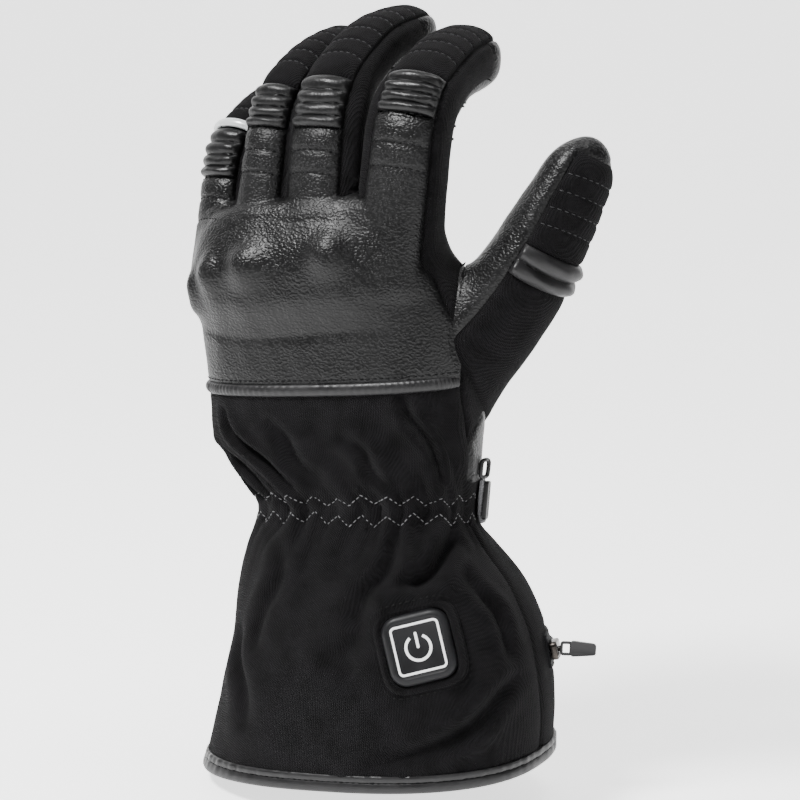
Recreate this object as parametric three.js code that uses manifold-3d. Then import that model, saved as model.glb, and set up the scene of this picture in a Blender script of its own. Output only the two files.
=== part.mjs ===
// Heated riding glove, left hand, held up by the hand that fills it.
// Millimetres. +Z runs up to the fingertips, -Y faces out of the back of the hand,
// +X is the thumb side. The origin is the centre of the wrist.
import * as THREE from "three";
import { mergeVertices } from "three/addons/utils/BufferGeometryUtils.js";
import Module from "manifold-3d";

// Sizes of the cut and sewn body
const cuffLength = 100;
const palmLength = 118;
const handWidth = 108;
const handThickness = 46;
const gauntletWidth = 134;
const gauntletThickness = 94;
const wall = 2;
const seamGap = 0.3;
const squareness = 2.5;
const fingerSquareness = 2.3;

// Heights up the hand and down the cuff
const gatherBottom = -6;
const gatherTop = 9;
const pipingBottom = 44.6;
const pipingTop = 49.2;
const forkFoot = 114;
const bindingHeight = 7;
const strapBottom = -7;
const strapTop = 9;

// Lifts and swellings
const pleatCount = 18;
const pleatHeight = 1.1;
const bindingThickness = 0.9;
const pipingLift = 1.4;
const knuckleHeight = 2.4;
const knuckleReach = 7.5;
const ribHeight = 1.5;
const ribCount = 4;
const thumbTubeHeight = 2;
const thumbTubeCount = 2;

// Seam angles round a finger, from the middle of its back
const backSpread = 53;
const frontSpread = 117;
const seamStep = 1.9;
const reflectiveLift = 2;
const reflectiveWidth = 2.6;
const tipWrapFrom = 0.865;
const tipCapFrom = 0.958;

// Power button
const buttonWidth = 25.5;
const buttonLength = 26;
const buttonCorner = 6.5;
const buttonRise = 2;
const buttonSink = 3.2;
const windowBorder = 2.6;
const windowLift = 0.9;
const windowSink = 2.6;
const markDepth = 0.8;
const markStroke = 1.3;
const outlineSize = 18.8;
const powerRadius = 4.7;
const powerStroke = 1.5;
const powerBarLength = 6.2;
const powerOpening = 62;
const buttonTurn = 11;
const buttonAngle = 28.5;
const buttonHeight = -44.5;

// Battery pocket zip
const zipFrom = 101;
const zipTo = 192;
const zipHeight = -58;
const zipTapeWidth = 13;
const zipTapeThickness = 0.7;
const zipTapeFloor = 0.5;
const zipTeethWidth = 3.2;
const zipTeethThickness = 1.2;
const sliderLength = 9;
const sliderWidth = 7;
const sliderHeight = 2.6;
const bailWire = 1;
const bailWidth = 5.6;
const bailLength = 5;
const pullLength = 9.6;
const pullWidth = 5.2;
const pullEndWidth = 4.2;
const pullThickness = 1.8;
const pullTurn = 12;

// Wrist strap
const strapThickness = 1.2;
const tabLength = 18;
const tabWidth = 6;
const tabThickness = 1.6;
const loopRadius = 3.4;
const loopWire = 1.1;
const loopSink = 0.8;

const wasm = await Module();
wasm.setup();

const degrees = Math.PI / 180;
const power = (value, exponent) =>
  Math.sign(value) * Math.pow(Math.abs(value), exponent);
const mix = (a, b, share) => a + (b - a) * share;
const ease = (share) => {
  const t = Math.min(1, Math.max(0, share));
  return t * t * (3 - 2 * t);
};
const bump = (distance, reach) => Math.exp(-((distance / reach) ** 2));

// Reads a table of named columns at any height, smooth through its rows.
function read(table, at) {
  const last = table.length - 1;
  let i = 0;
  while (i < last - 1 && at > table[i + 1].at) i += 1;
  const a = table[i];
  const b = table[i + 1];
  const span = b.at - a.at;
  const t = Math.min(1, Math.max(0, (at - a.at) / span));
  const before = table[Math.max(0, i - 1)];
  const after = table[Math.min(last, i + 2)];
  const row = {};
  for (const key of Object.keys(a)) {
    const slopeA = (b[key] - before[key]) / (b.at - before.at);
    const slopeB = (after[key] - a[key]) / (after.at - a.at);
    const t2 = t * t;
    const t3 = t2 * t;
    row[key] =
      (2 * t3 - 3 * t2 + 1) * a[key] +
      (t3 - 2 * t2 + t) * span * slopeA +
      (3 * t2 - 2 * t3) * b[key] +
      (t3 - t2) * span * slopeB;
  }
  return row;
}

// Cross sections from hem to forks. Height is a share of the cuff's length below the wrist and
// of the palm's length above it. Width is a share of the gauntlet's or the hand's half width,
// back and palm are shares of half their thickness.
const cuffRows = [
  { height: -1.0, shift: 4.6, width: 1.02, back: 0.99, palm: 0.99, rock: 0 },
  { height: -0.9, shift: 6.2, width: 1.0, back: 0.98, palm: 0.98, rock: 0 },
  { height: -0.76, shift: 8.0, width: 0.975, back: 0.97, palm: 0.97, rock: 0 },
  { height: -0.6, shift: 9.0, width: 0.935, back: 0.95, palm: 0.95, rock: 0 },
  { height: -0.45, shift: 9.0, width: 0.88, back: 0.89, palm: 0.89, rock: 0 },
  { height: -0.3, shift: 6.0, width: 0.815, back: 0.8, palm: 0.81, rock: 0.03 },
  { height: -0.15, shift: 1.5, width: 0.71, back: 0.66, palm: 0.68, rock: 0.1 },
  { height: -0.06, shift: 0.3, width: 0.65, back: 0.6, palm: 0.61, rock: 0.14 },
];
const handRows = [
  { height: 0.02, shift: 0.0, width: 0.806, back: 1.2, palm: 1.23, rock: 0.14 },
  { height: 0.085, shift: -2.2, width: 0.86, back: 1.16, palm: 1.22, rock: 0.12 },
  { height: 0.15, shift: -5.0, width: 0.925, back: 1.13, palm: 1.2, rock: 0.08 },
  { height: 0.235, shift: -9.0, width: 0.99, back: 1.1, palm: 1.19, rock: 0.03 },
  { height: 0.34, shift: -9.5, width: 1.0, back: 1.07, palm: 1.16, rock: 0 },
  { height: 0.51, shift: -11.5, width: 1.01, back: 1.04, palm: 1.08, rock: 0 },
  { height: 0.68, shift: -15.0, width: 1.0, back: 1.03, palm: 1.0, rock: 0 },
  { height: 0.805, shift: -18.5, width: 0.93, back: 0.99, palm: 0.96, rock: 0 },
  { height: 0.915, shift: -19.5, width: 0.87, back: 0.84, palm: 0.86, rock: 0 },
  { height: 0.97, shift: -19.5, width: 0.79, back: 0.68, palm: 0.66, rock: 0 },
  { height: 1.0, shift: -19.5, width: 0.62, back: 0.3, palm: 0.3, rock: 0 },
];
const bodyRows = [
  ...cuffRows.map((row) => ({
    at: row.height * cuffLength,
    shift: row.shift,
    width: (row.width * gauntletWidth) / 2,
    back: (row.back * gauntletThickness) / 2,
    palm: (row.palm * gauntletThickness) / 2,
    tilt: 0.08 - 0.02 * row.height,
    rock: row.rock,
  })),
  ...handRows.map((row) => ({
    at: row.height * palmLength,
    shift: row.shift,
    width: (row.width * handWidth) / 2,
    back: (row.back * handThickness) / 2,
    palm: (row.palm * handThickness) / 2,
    tilt: 0.08 + 0.05 * row.height,
    rock: row.rock,
  })),
];

// Seams that run up the hand: the knuckle panel's edge on the thumb side and on the outer side,
// and the palm's edge behind the softshell strip.
const thumbSeam = [
  { at: 0, angle: 86 },
  { at: 28, angle: 84 },
  { at: 43, angle: 75 },
  { at: 95, angle: 66 },
  { at: 118, angle: 67 },
];
const stripSeam = [
  { at: 24, angle: 86 },
  { at: 36, angle: 102 },
  { at: 48, angle: 106 },
  { at: 72, angle: 101 },
  { at: 95, angle: 101 },
  { at: 118, angle: 101 },
];
const outerSeam = -76;
const stripFoot = 26;
const sideSeam = 89.95;

// Moulded knuckle bumps under the leather: angle round the hand, height, reach.
const knuckles = [
  { angle: -62, height: 84 },
  { angle: -40, height: 91 },
  { angle: -16, height: 94 },
  { angle: 14, height: 96 },
];
// Deep folds of the gauntlet, each from one end to the other.
const folds = [
  { fromAngle: 26, fromHeight: -8, toAngle: 4, toHeight: -38, depth: 2.4, reach: 4 },
  { fromAngle: 66, fromHeight: -14, toAngle: 18, toHeight: -26, depth: 3.0, reach: 4 },
  { fromAngle: 70, fromHeight: -26, toAngle: 78, toHeight: -50, depth: 1.8, reach: 4 },
  { fromAngle: 14, fromHeight: -88, toAngle: 74, toHeight: -64, depth: 1.6, reach: 5 },
  { fromAngle: -46, fromHeight: -44, toAngle: -28, toHeight: -72, depth: 1.4, reach: 5 },
  { fromAngle: -40, fromHeight: 36, toAngle: -20, toHeight: 8, depth: 1.6, reach: 4 },
  { fromAngle: -12, fromHeight: 28, toAngle: -4, toHeight: 12, depth: 1.4, reach: 4 },
  { fromAngle: 40, fromHeight: 38, toAngle: 56, toHeight: 16, depth: 1.2, reach: 4 },
];
const degreesToReach = 0.75;

function foldDepth(angle, height) {
  let depth = 0;
  for (const fold of folds) {
    const ax = (fold.toAngle - fold.fromAngle) * degreesToReach;
    const az = fold.toHeight - fold.fromHeight;
    const bx = (angle - fold.fromAngle) * degreesToReach;
    const bz = height - fold.fromHeight;
    const along = Math.min(1, Math.max(0, (ax * bx + az * bz) / (ax * ax + az * az)));
    const away = Math.hypot(bx - ax * along, bz - az * along);
    depth += fold.depth * Math.sin(Math.PI * mix(0.12, 0.88, along)) * bump(away, fold.reach);
  }
  return depth;
}

// A point of the body. Angle 0 is the middle of the back of the hand, +90 the thumb side.
function bodyPoint(angle, height, depth, lift = 0) {
  const row = read(bodyRows, height);
  const out = lift - depth - foldDepth(angle, height);
  const across = power(Math.sin(angle * degrees), 2 / squareness);
  const through = -power(Math.cos(angle * degrees), 2 / squareness);
  const thick = through < 0 ? row.back : row.palm;
  const x = Math.max(0.2, row.width + out) * across;
  const y = Math.max(0.1, thick + out) * through;
  return new THREE.Vector3(row.shift + x, y, height + row.tilt * x - row.rock * y);
}

// Fingers: the middle of the root, the way the finger leans, the roll of its back towards the
// thumb side, the bend of its three bones, its length, width and depth, and where it bends.
const fingers = {
  index: {
    x: 16.8, y: -7.2, z: 88, lean: 4.5, roll: 3, bends: [4, 64, 84], length: 122,
    width: 31, depth: 27.5, joints: [0.52, 0.75], taper: 0.13, tapering: 1,
    ribs: [0.48, 0.57],
  },
  middle: {
    x: -14.8, y: -9, z: 90, lean: -1.4, roll: -4, bends: [10, 59, 83], length: 134,
    width: 29, depth: 24, joints: [0.48, 0.74], taper: 0.17, tapering: 1,
    ribs: [0.385, 0.5],
  },
  ring: {
    x: -39.9, y: -8.1, z: 86, lean: -0.6, roll: -5.5, bends: [13, 60, 80], length: 122,
    width: 24.4, depth: 25, joints: [0.53, 0.76], taper: 0.19, tapering: 1,
    ribs: [0.445, 0.55],
  },
  little: {
    x: -60.4, y: -2.3, z: 76, lean: -4.4, roll: -17, bends: [13.5, 55, 79], length: 100,
    width: 24, depth: 24, joints: [0.56, 0.78], taper: 0.13, tapering: 1,
    ribs: [0.445, 0.59],
  },
  thumb: {
    x: 11, y: 11, z: 28, lean: 38.5, roll: 57, bends: [-2, 2, 19], length: 135,
    width: 38.5, depth: 34, joints: [0.35, 0.62], taper: 0.45, tapering: 2.5,
    ribs: [0.6, 0.68],
  },
};
const tipRoundness = 15;
const bendSpan = 0.26;
const pathSteps = 60;

// Follows a finger's bends into a path with a frame at each step.
function rigged(finger) {
  const lean = finger.lean * degrees;
  const roll = finger.roll * degrees;
  const up = new THREE.Vector3(Math.sin(lean), 0, Math.cos(lean));
  const curl = new THREE.Vector3(-Math.sin(roll), Math.cos(roll), 0);
  curl.addScaledVector(up, -curl.dot(up)).normalize();
  const side = new THREE.Vector3().crossVectors(curl, up);
  const frames = [];
  const centre = new THREE.Vector3(finger.x, finger.y, finger.z);
  const step = finger.length / pathSteps;
  for (let i = 0; i <= pathSteps; i += 1) {
    const share = i / pathSteps;
    const [first, second, third] = finger.bends;
    const bend =
      (first +
        (second - first) * ease((share - finger.joints[0]) / bendSpan + 0.5) +
        (third - second) * ease((share - finger.joints[1]) / bendSpan + 0.5)) *
      degrees;
    const along = up.clone().multiplyScalar(Math.cos(bend)).addScaledVector(curl, Math.sin(bend));
    const back = up.clone().multiplyScalar(Math.sin(bend)).addScaledVector(curl, -Math.cos(bend));
    if (i) centre.addScaledVector(along, step);
    frames.push({ centre: centre.clone(), along, back });
  }
  return { ...finger, side, frames };
}
const rigs = Object.fromEntries(
  Object.entries(fingers).map(([name, finger]) => [name, rigged(finger)]),
);

// A point of a finger. Share runs from root to tip, angle 0 is the middle of its back.
function fingerPoint(rig, angle, share, depth, lift = 0) {
  const reach = share * (rig.length - depth);
  const at = Math.min(pathSteps - 1e-6, (reach / rig.length) * pathSteps);
  const i = Math.floor(at);
  const t = at - i;
  const a = rig.frames[i];
  const b = rig.frames[i + 1];
  const start = rig.length - tipRoundness;
  const q = Math.min(1, Math.max(0, (reach - start) / (tipRoundness - depth)));
  const cap = Math.sqrt(Math.max(0, 1 - q ** 2.2));
  const slim = 1 - rig.taper * share ** rig.tapering;
  const out = lift - depth;
  const through =
    (Math.max(0, (rig.depth / 2) * slim + out)) * cap * power(Math.cos(angle * degrees), 2 / fingerSquareness);
  const across =
    (Math.max(0, (rig.width / 2) * slim + out)) * cap * power(Math.sin(angle * degrees), 2 / fingerSquareness);
  return a.centre
    .clone()
    .lerp(b.centre, t)
    .addScaledVector(a.back.clone().lerp(b.back, t).normalize(), through)
    .addScaledVector(rig.side, across);
}

// Turns a list of points and faces into a solid that faces outward.
function solid(points, faces) {
  const positions = new Float32Array(points.length * 3);
  points.forEach((p, i) => positions.set([p.x, p.y, p.z], i * 3));
  const geometry = new THREE.BufferGeometry();
  geometry.setAttribute("position", new THREE.BufferAttribute(positions, 3));
  geometry.setIndex(faces.flat());
  return fromGeometry(geometry);
}
function fromGeometry(source) {
  const bare = new THREE.BufferGeometry();
  bare.setAttribute("position", source.getAttribute("position"));
  bare.setIndex(source.getIndex());
  const merged = mergeVertices(bare, 1e-3);
  const raw = merged.index.array;
  const kept = [];
  for (let i = 0; i < raw.length; i += 3) {
    const [a, b, c] = [raw[i], raw[i + 1], raw[i + 2]];
    if (a !== b && b !== c && a !== c) kept.push(a, b, c);
  }
  const make = (list) =>
    new wasm.Manifold(
      new wasm.Mesh({
        numProp: 3,
        vertProperties: merged.attributes.position.array,
        triVerts: new Uint32Array(list),
      }),
    );
  const made = make(kept);
  if (made.volume() > 0) return made;
  const turned = [];
  for (let i = 0; i < kept.length; i += 3) turned.push(kept[i], kept[i + 2], kept[i + 1]);
  return make(turned);
}

// A closed slab: an outer sheet and an inner sheet over the same grid, joined round the edge.
// point(u, v, inner) gives the outer or the inner sheet.
function slab(point, columns, rows, closed = false) {
  const points = [];
  const wide = closed ? columns : columns + 1;
  for (const inner of [false, true])
    for (let j = 0; j <= rows; j += 1)
      for (let i = 0; i < wide; i += 1) points.push(point(i / columns, j / rows, inner));
  const sheet = wide * (rows + 1);
  const id = (i, j, inner) => (inner ? sheet : 0) + j * wide + (i % wide);
  const faces = [];
  const quad = (a, b, c, d) => faces.push([a, b, c], [a, c, d]);
  for (let j = 0; j < rows; j += 1)
    for (let i = 0; i < columns; i += 1) {
      quad(id(i, j), id(i + 1, j), id(i + 1, j + 1), id(i, j + 1));
      quad(id(i, j, 1), id(i, j + 1, 1), id(i + 1, j + 1, 1), id(i + 1, j, 1));
    }
  for (let i = 0; i < columns; i += 1) {
    quad(id(i, 0), id(i, 0, 1), id(i + 1, 0, 1), id(i + 1, 0));
    quad(id(i, rows), id(i + 1, rows), id(i + 1, rows, 1), id(i, rows, 1));
  }
  if (!closed)
    for (let j = 0; j < rows; j += 1) {
      quad(id(0, j), id(0, j + 1), id(0, j + 1, 1), id(0, j, 1));
      quad(id(columns, j), id(columns, j, 1), id(columns, j + 1, 1), id(columns, j + 1));
    }
  return solid(points, faces);
}

// A closed loft with flat or pointed ends.
function loft(point, columns, rows) {
  const points = [];
  for (let j = 0; j <= rows; j += 1)
    for (let i = 0; i < columns; i += 1) points.push(point(i / columns, j / rows));
  const faces = [];
  const id = (i, j) => j * columns + (i % columns);
  for (let j = 0; j < rows; j += 1)
    for (let i = 0; i < columns; i += 1) {
      faces.push([id(i, j), id(i + 1, j), id(i + 1, j + 1)]);
      faces.push([id(i, j), id(i + 1, j + 1), id(i, j + 1)]);
    }
  for (const j of [0, rows]) {
    const middle = new THREE.Vector3();
    for (let i = 0; i < columns; i += 1) middle.add(points[id(i, j)]);
    points.push(middle.divideScalar(columns));
    const hub = points.length - 1;
    for (let i = 0; i < columns; i += 1)
      faces.push(j ? [id(i, j), id(i + 1, j), hub] : [id(i + 1, j), id(i, j), hub]);
  }
  return solid(points, faces);
}

const joined = (...solids) => solids.reduce((a, b) => a.add(b));
const without = (a, ...others) => others.reduce((left, b) => left.subtract(b), a);
// Trimming can leave crumbs inside a shell: only the piece itself is kept.
const main = (made) =>
  made.decompose().reduce((a, b) => (a.volume() > b.volume() ? a : b));

// Whole bodies used for trimming
const trimGap = 0.5;
const hollowDepth = wall + 0.35;
const bodyLoft = (depth, low, high, columns = 24, rows = 16) =>
  loft((u, v) => bodyPoint(u * 360, mix(low, high, v), depth), columns, rows);
const fingerLoft = (rig, depth, columns = 12, rows = 8) =>
  loft((u, v) => fingerPoint(rig, u * 360, v, depth), columns, rows);

const handGrown = bodyLoft(-seamGap, 14, palmLength + seamGap, 24, 9);
const handInner = bodyLoft(hollowDepth, 20, palmLength - hollowDepth, 14, 6);
const grownFinger = {};
const innerFinger = {};
for (const [name, rig] of Object.entries(rigs)) {
  grownFinger[name] = fingerLoft(rig, -trimGap);
  innerFinger[name] = fingerLoft(rig, hollowDepth, 8, 6);
}
const hollow = joined(handInner, ...Object.values(innerFinger));
const allFingers = joined(...Object.values(grownFinger));

const along = (value) => (typeof value === "function" ? value : () => value);
const seamAt = (table) => (height) => read(table, Math.min(table.at(-1).at, Math.max(table[0].at, height))).angle;
const shifted = (seam, by) => (height) => seam(height) + by;

// A patch of the body between two seams and two heights.
function bodyPatch(from, to, low, high, columns, rows, lift = () => 0, depth = wall) {
  const whole = from === 0 && to === 360;
  return slab(
    (u, v, inner) => {
      const height = mix(low, high, v);
      const angle = mix(along(from)(height), along(to)(height), u);
      return inner
        ? bodyPoint(angle, height, depth)
        : bodyPoint(angle, height, 0, lift(angle, height));
    },
    columns,
    rows,
    whole,
  );
}
// A patch of a finger between two seams, with a row at each share of its length in the list.
function fingerPatch(rig, from, to, shares, columns, lift = () => 0, depth = wall) {
  const rows = shares.length - 1;
  return slab(
    (u, v, inner) => {
      const share = shares[Math.round(v * rows)];
      const angle = mix(along(from)(share), along(to)(share), u);
      return inner
        ? fingerPoint(rig, angle, share, depth)
        : fingerPoint(rig, angle, share, 0, lift(angle, share));
    },
    columns,
    rows,
  );
}
const evenly = (from, to, count) =>
  Array.from({ length: count + 1 }, (_, i) => mix(from, to, i / count));
// A closed profile of lifts and heights carried round the body.
function bodySweep(profile, from, to, columns) {
  const closed = to - from >= 360;
  const count = profile.length;
  const wide = closed ? columns : columns + 1;
  const points = [];
  for (let i = 0; i < wide; i += 1)
    for (const [lift, height] of profile)
      points.push(bodyPoint(mix(from, to, i / columns), height, 0, lift));
  const faces = [];
  const id = (i, k) => (i % wide) * count + (k % count);
  for (let i = 0; i < columns; i += 1)
    for (let k = 0; k < count; k += 1) {
      faces.push([id(i, k), id(i + 1, k), id(i + 1, k + 1)]);
      faces.push([id(i, k), id(i + 1, k + 1), id(i, k + 1)]);
    }
  if (!closed) {
    const flat = profile.map(([lift, height]) => new THREE.Vector2(lift, height));
    for (const [a, b, c] of THREE.ShapeUtils.triangulateShape(flat, [])) {
      faces.push([id(0, a), id(0, b), id(0, c)]);
      faces.push([id(columns, a), id(columns, c), id(columns, b)]);
    }
  }
  return solid(points, faces);
}

// The place, outward normal and upward direction of the body's surface.
function surfaceFrame(angle, height, turn = 0) {
  const reach = 3;
  const place = bodyPoint(angle, height, 0);
  const east = bodyPoint(angle + reach, height, 0).sub(bodyPoint(angle - reach, height, 0));
  const north = bodyPoint(angle, height + reach, 0).sub(bodyPoint(angle, height - reach, 0));
  const normal = new THREE.Vector3().crossVectors(east, north).normalize();
  east.normalize();
  const up = new THREE.Vector3().crossVectors(normal, east);
  const frame = new THREE.Matrix4().makeBasis(east, up, normal);
  frame.multiply(new THREE.Matrix4().makeRotationZ(turn * degrees));
  return frame.setPosition(place);
}
const placed = (geometry, frame) => fromGeometry(geometry.applyMatrix4(frame));

// Flat shapes of the button and the pull
function roundedShape(width, length, corner) {
  const shape = new THREE.Shape();
  const x = width / 2;
  const y = length / 2;
  shape.moveTo(-x + corner, -y);
  shape.lineTo(x - corner, -y);
  shape.absarc(x - corner, -y + corner, corner, -Math.PI / 2, 0);
  shape.lineTo(x, y - corner);
  shape.absarc(x - corner, y - corner, corner, 0, Math.PI / 2);
  shape.lineTo(-x + corner, y);
  shape.absarc(-x + corner, y - corner, corner, Math.PI / 2, Math.PI);
  shape.lineTo(-x, -y + corner);
  shape.absarc(-x + corner, -y + corner, corner, Math.PI, Math.PI * 1.5);
  return shape;
}
function prism(shape, low, high, bevel = 0, curveSegments = 2) {
  const geometry = new THREE.ExtrudeGeometry(shape, {
    depth: high - low - 2 * bevel,
    bevelEnabled: bevel > 0,
    bevelThickness: bevel,
    bevelSize: bevel,
    bevelOffset: -bevel,
    bevelSegments: 1,
    curveSegments,
  });
  return geometry.translate(0, 0, low + bevel);
}
const arcShape = (radius, stroke, opening) => {
  const from = (90 + opening / 2) * degrees;
  const to = (450 - opening / 2) * degrees;
  const shape = new THREE.Shape();
  shape.absarc(0, 0, radius + stroke / 2, from, to, false);
  shape.absarc(0, 0, radius - stroke / 2, to, from, true);
  return shape;
};

const materials = {
  softshell: { color: 0x1c1b1e, roughness: 0.95 },
  leather: { color: 0x1b1a1c, roughness: 0.5 },
  trim: { color: 0x2b2a2d, roughness: 0.45 },
  elastic: { color: 0x5a5a5e, roughness: 0.7 },
  rubber: { color: 0x121214, roughness: 0.6 },
  print: { color: 0xe6e6e6, roughness: 0.7 },
  reflective: { color: 0xb9bcbc, roughness: 0.4 },
  zip: { color: 0x161618, roughness: 0.6 },
  metal: { color: 0x4a4038, roughness: 0.35, metalness: 1 },
};
const group = new THREE.Group();
function add(name, whole, material) {
  const made = main(whole);
  const mesh = made.getMesh();
  const stride = mesh.numProp;
  const positions = new Float32Array(mesh.numVert * 3);
  for (let i = 0; i < mesh.numVert; i += 1)
    positions.set(mesh.vertProperties.subarray(i * stride, i * stride + 3), i * 3);
  const geometry = new THREE.BufferGeometry();
  geometry.setAttribute("position", new THREE.BufferAttribute(positions, 3));
  geometry.setIndex(new THREE.BufferAttribute(mesh.triVerts, 1));
  const part = new THREE.Mesh(geometry, new THREE.MeshStandardMaterial(materials[material]));
  part.name = name;
  group.add(part);
}

// Raised ribs: rounded ridges that follow one another along a share of the finger.
const ridges = (count, from, to, height) => (angle, share) =>
  height * Math.abs(Math.sin(((share - from) / (to - from)) * count * Math.PI)) ** 0.7;
const knuckleLift = (angle, height) => {
  let lift = 0;
  for (const knuckle of knuckles) {
    const away = Math.hypot((angle - knuckle.angle) * degreesToReach, height - knuckle.height);
    lift = Math.max(lift, knuckleHeight * bump(away, knuckleReach));
  }
  return lift;
};
const pleats = (angle, height) => {
  const share = (height - gatherBottom) / (gatherTop - gatherBottom);
  const swell = Math.sin(Math.PI * Math.min(1, Math.max(0, share)));
  return pleatHeight * swell * (0.5 + 0.5 * Math.cos(angle * degrees * pleatCount));
};

// Fingers. The leather front widens over the sides below the tip and closes over the tip.
const shareGap = (rig) => seamGap / rig.length;
const sideFrom = backSpread + seamStep;
const frontFrom = frontSpread + seamStep;
const tipSlit = 1.2;
const frontSeam = (share) => {
  if (share < tipWrapFrom) return frontFrom;
  return share < tipCapFrom ? sideFrom : tipSlit;
};
const frontShares = (step) => [
  ...evenly(0, tipWrapFrom - step, 6),
  tipWrapFrom,
  tipCapFrom - step,
  tipCapFrom,
  0.985,
  1,
];
function fingerFront(rig, columns) {
  const step = shareGap(rig) / 3;
  return fingerPatch(rig, frontSeam, (share) => 360 - frontSeam(share), frontShares(step), columns);
}
const hands = ["index", "middle", "ring", "little"];
const tongues = [];
const thumbSides = {};
const outerSides = {};
for (const name of hands) {
  const rig = rigs[name];
  const [ribFoot, ribTop] = rig.ribs;
  const step = shareGap(rig);
  tongues.push(fingerPatch(rig, -backSpread, backSpread, evenly(0, ribFoot - step, 4), 4));
  add(
    name + "_ribs",
    fingerPatch(rig, -backSpread, backSpread, evenly(ribFoot, ribTop, 2 * ribCount), 4,
      ridges(ribCount, ribFoot, ribTop, ribHeight)),
    "leather",
  );
  add(
    name + "_tip_back",
    fingerPatch(rig, -backSpread, backSpread, evenly(ribTop + step, tipCapFrom - step, 5), 4),
    "softshell",
  );
  add(name + "_front", without(fingerFront(rig, 6), handGrown), "leather");
  const sideShares = evenly(0, tipWrapFrom - step, 6);
  thumbSides[name] = fingerPatch(rig, sideFrom, frontSpread, sideShares, 2);
  outerSides[name] = fingerPatch(rig, -frontSpread, -sideFrom, sideShares, 2);
}

const sideless = {};
for (const name of hands) {
  const rig = rigs[name];
  const reachOut = () => trimGap;
  sideless[name] = joined(
    fingerPatch(rig, -sideFrom, sideFrom, evenly(0, 0.6, 4), 4, reachOut, 5),
    fingerPatch(rig, frontSpread - 0.2, 360.2 - frontSpread, evenly(0, 0.6, 4), 5, reachOut, 5),
  );
}

// Back of the hand and palm
const backColumns = 10;
const seam = seamAt(thumbSeam);
const palmSeam = seamAt(stripSeam);
const nearSeam = shifted(seam, -0.9);
const panelCutter = bodyPatch(outerSeam - 1, shifted(seam, -0.3), pipingTop, forkFoot, backColumns, 8,
  (angle, height) => trimGap + knuckleLift(angle, height), wall + trimGap);
// Forks: each is the strip between two fingers, over the web from one to the other.
const forkSkin = bodyLoft(0, forkFoot, palmLength, 16, 1);
const forks = [
  { name: "fork_index_middle", outer: "index", inner: "middle", at: 0, reach: 12 },
  { name: "fork_middle_ring", outer: "middle", inner: "ring", at: -28, reach: 11 },
  { name: "fork_ring_little", outer: "ring", inner: "little", at: -52, reach: 11 },
];
for (const fork of forks) {
  const web = fromGeometry(
    new THREE.BoxGeometry(2 * fork.reach, 60, 40).translate(fork.at, 0, palmLength),
  ).intersect(forkSkin);
  const strip = joined(outerSides[fork.outer], thumbSides[fork.inner], web);
  add(fork.name, without(strip, hollow, sideless[fork.outer], sideless[fork.inner], panelCutter), "softshell");
}

add(
  "knuckle_panel",
  without(
    joined(bodyPatch(outerSeam, nearSeam, pipingTop + seamGap, forkFoot - seamGap, backColumns, 7, knuckleLift), ...tongues),
    hollow,
  ),
  "leather",
);
add(
  "panel_piping",
  bodySweep(
    [
      [-wall, pipingBottom],
      [0.2, pipingBottom],
      [pipingLift, mix(pipingBottom, pipingTop, 0.3)],
      [pipingLift, mix(pipingBottom, pipingTop, 0.7)],
      [0.2, pipingTop],
      [-wall, pipingTop],
    ],
    outerSeam, 73.3, backColumns,
  ),
  "trim",
);
const stripCutter = bodyPatch(seam, shifted(palmSeam, 0.4), stripFoot - seamGap, forkFoot + 4, 2, 8,
  () => trimGap, wall + trimGap);
add(
  "index_side_strip",
  without(
    joined(bodyPatch(seam, palmSeam, stripFoot, forkFoot + 4, 2, 8), thumbSides.index),
    hollow, sideless.index, grownFinger.thumb, panelCutter,
  ),
  "softshell",
);
add("hand_back", bodyPatch(outerSeam, nearSeam, gatherTop + seamGap, pipingBottom - seamGap, backColumns, 5), "softshell");
add(
  "palm_panel",
  without(
    bodyPatch(shifted(palmSeam, 0.7), 358.7 + outerSeam, gatherTop + seamGap, forkFoot - seamGap, 11, 7),
    allFingers, stripCutter,
  ),
  "leather",
);
add("little_side_strip", without(outerSides.little, handGrown), "softshell");

// Thumb
const thumb = rigs.thumb;
const thumbStep = shareGap(thumb);
add(
  "thumb_back",
  without(fingerPatch(thumb, -backSpread, 70, evenly(0, thumb.ribs[0] - thumbStep, 7), 5), handGrown),
  "softshell",
);
add(
  "thumb_ribs",
  fingerPatch(thumb, -backSpread, 70, evenly(...thumb.ribs, 6), 5,
    ridges(thumbTubeCount, ...thumb.ribs, thumbTubeHeight)),
  "trim",
);
add(
  "thumb_tip_back",
  fingerPatch(thumb, -backSpread, 70, evenly(thumb.ribs[1] + thumbStep, tipCapFrom - thumbStep, 5), 5),
  "softshell",
);
add(
  "thumb_front",
  without(
    fingerPatch(thumb, (share) => (share < tipCapFrom ? 71.2 : tipSlit),
      (share) => (share < tipCapFrom ? 359 - backSpread : 360 - tipSlit),
      [...evenly(0.1, tipCapFrom - thumbStep / 3, 7), tipCapFrom, 0.985, 1], 8),
    handGrown,
  ),
  "leather",
);

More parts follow.
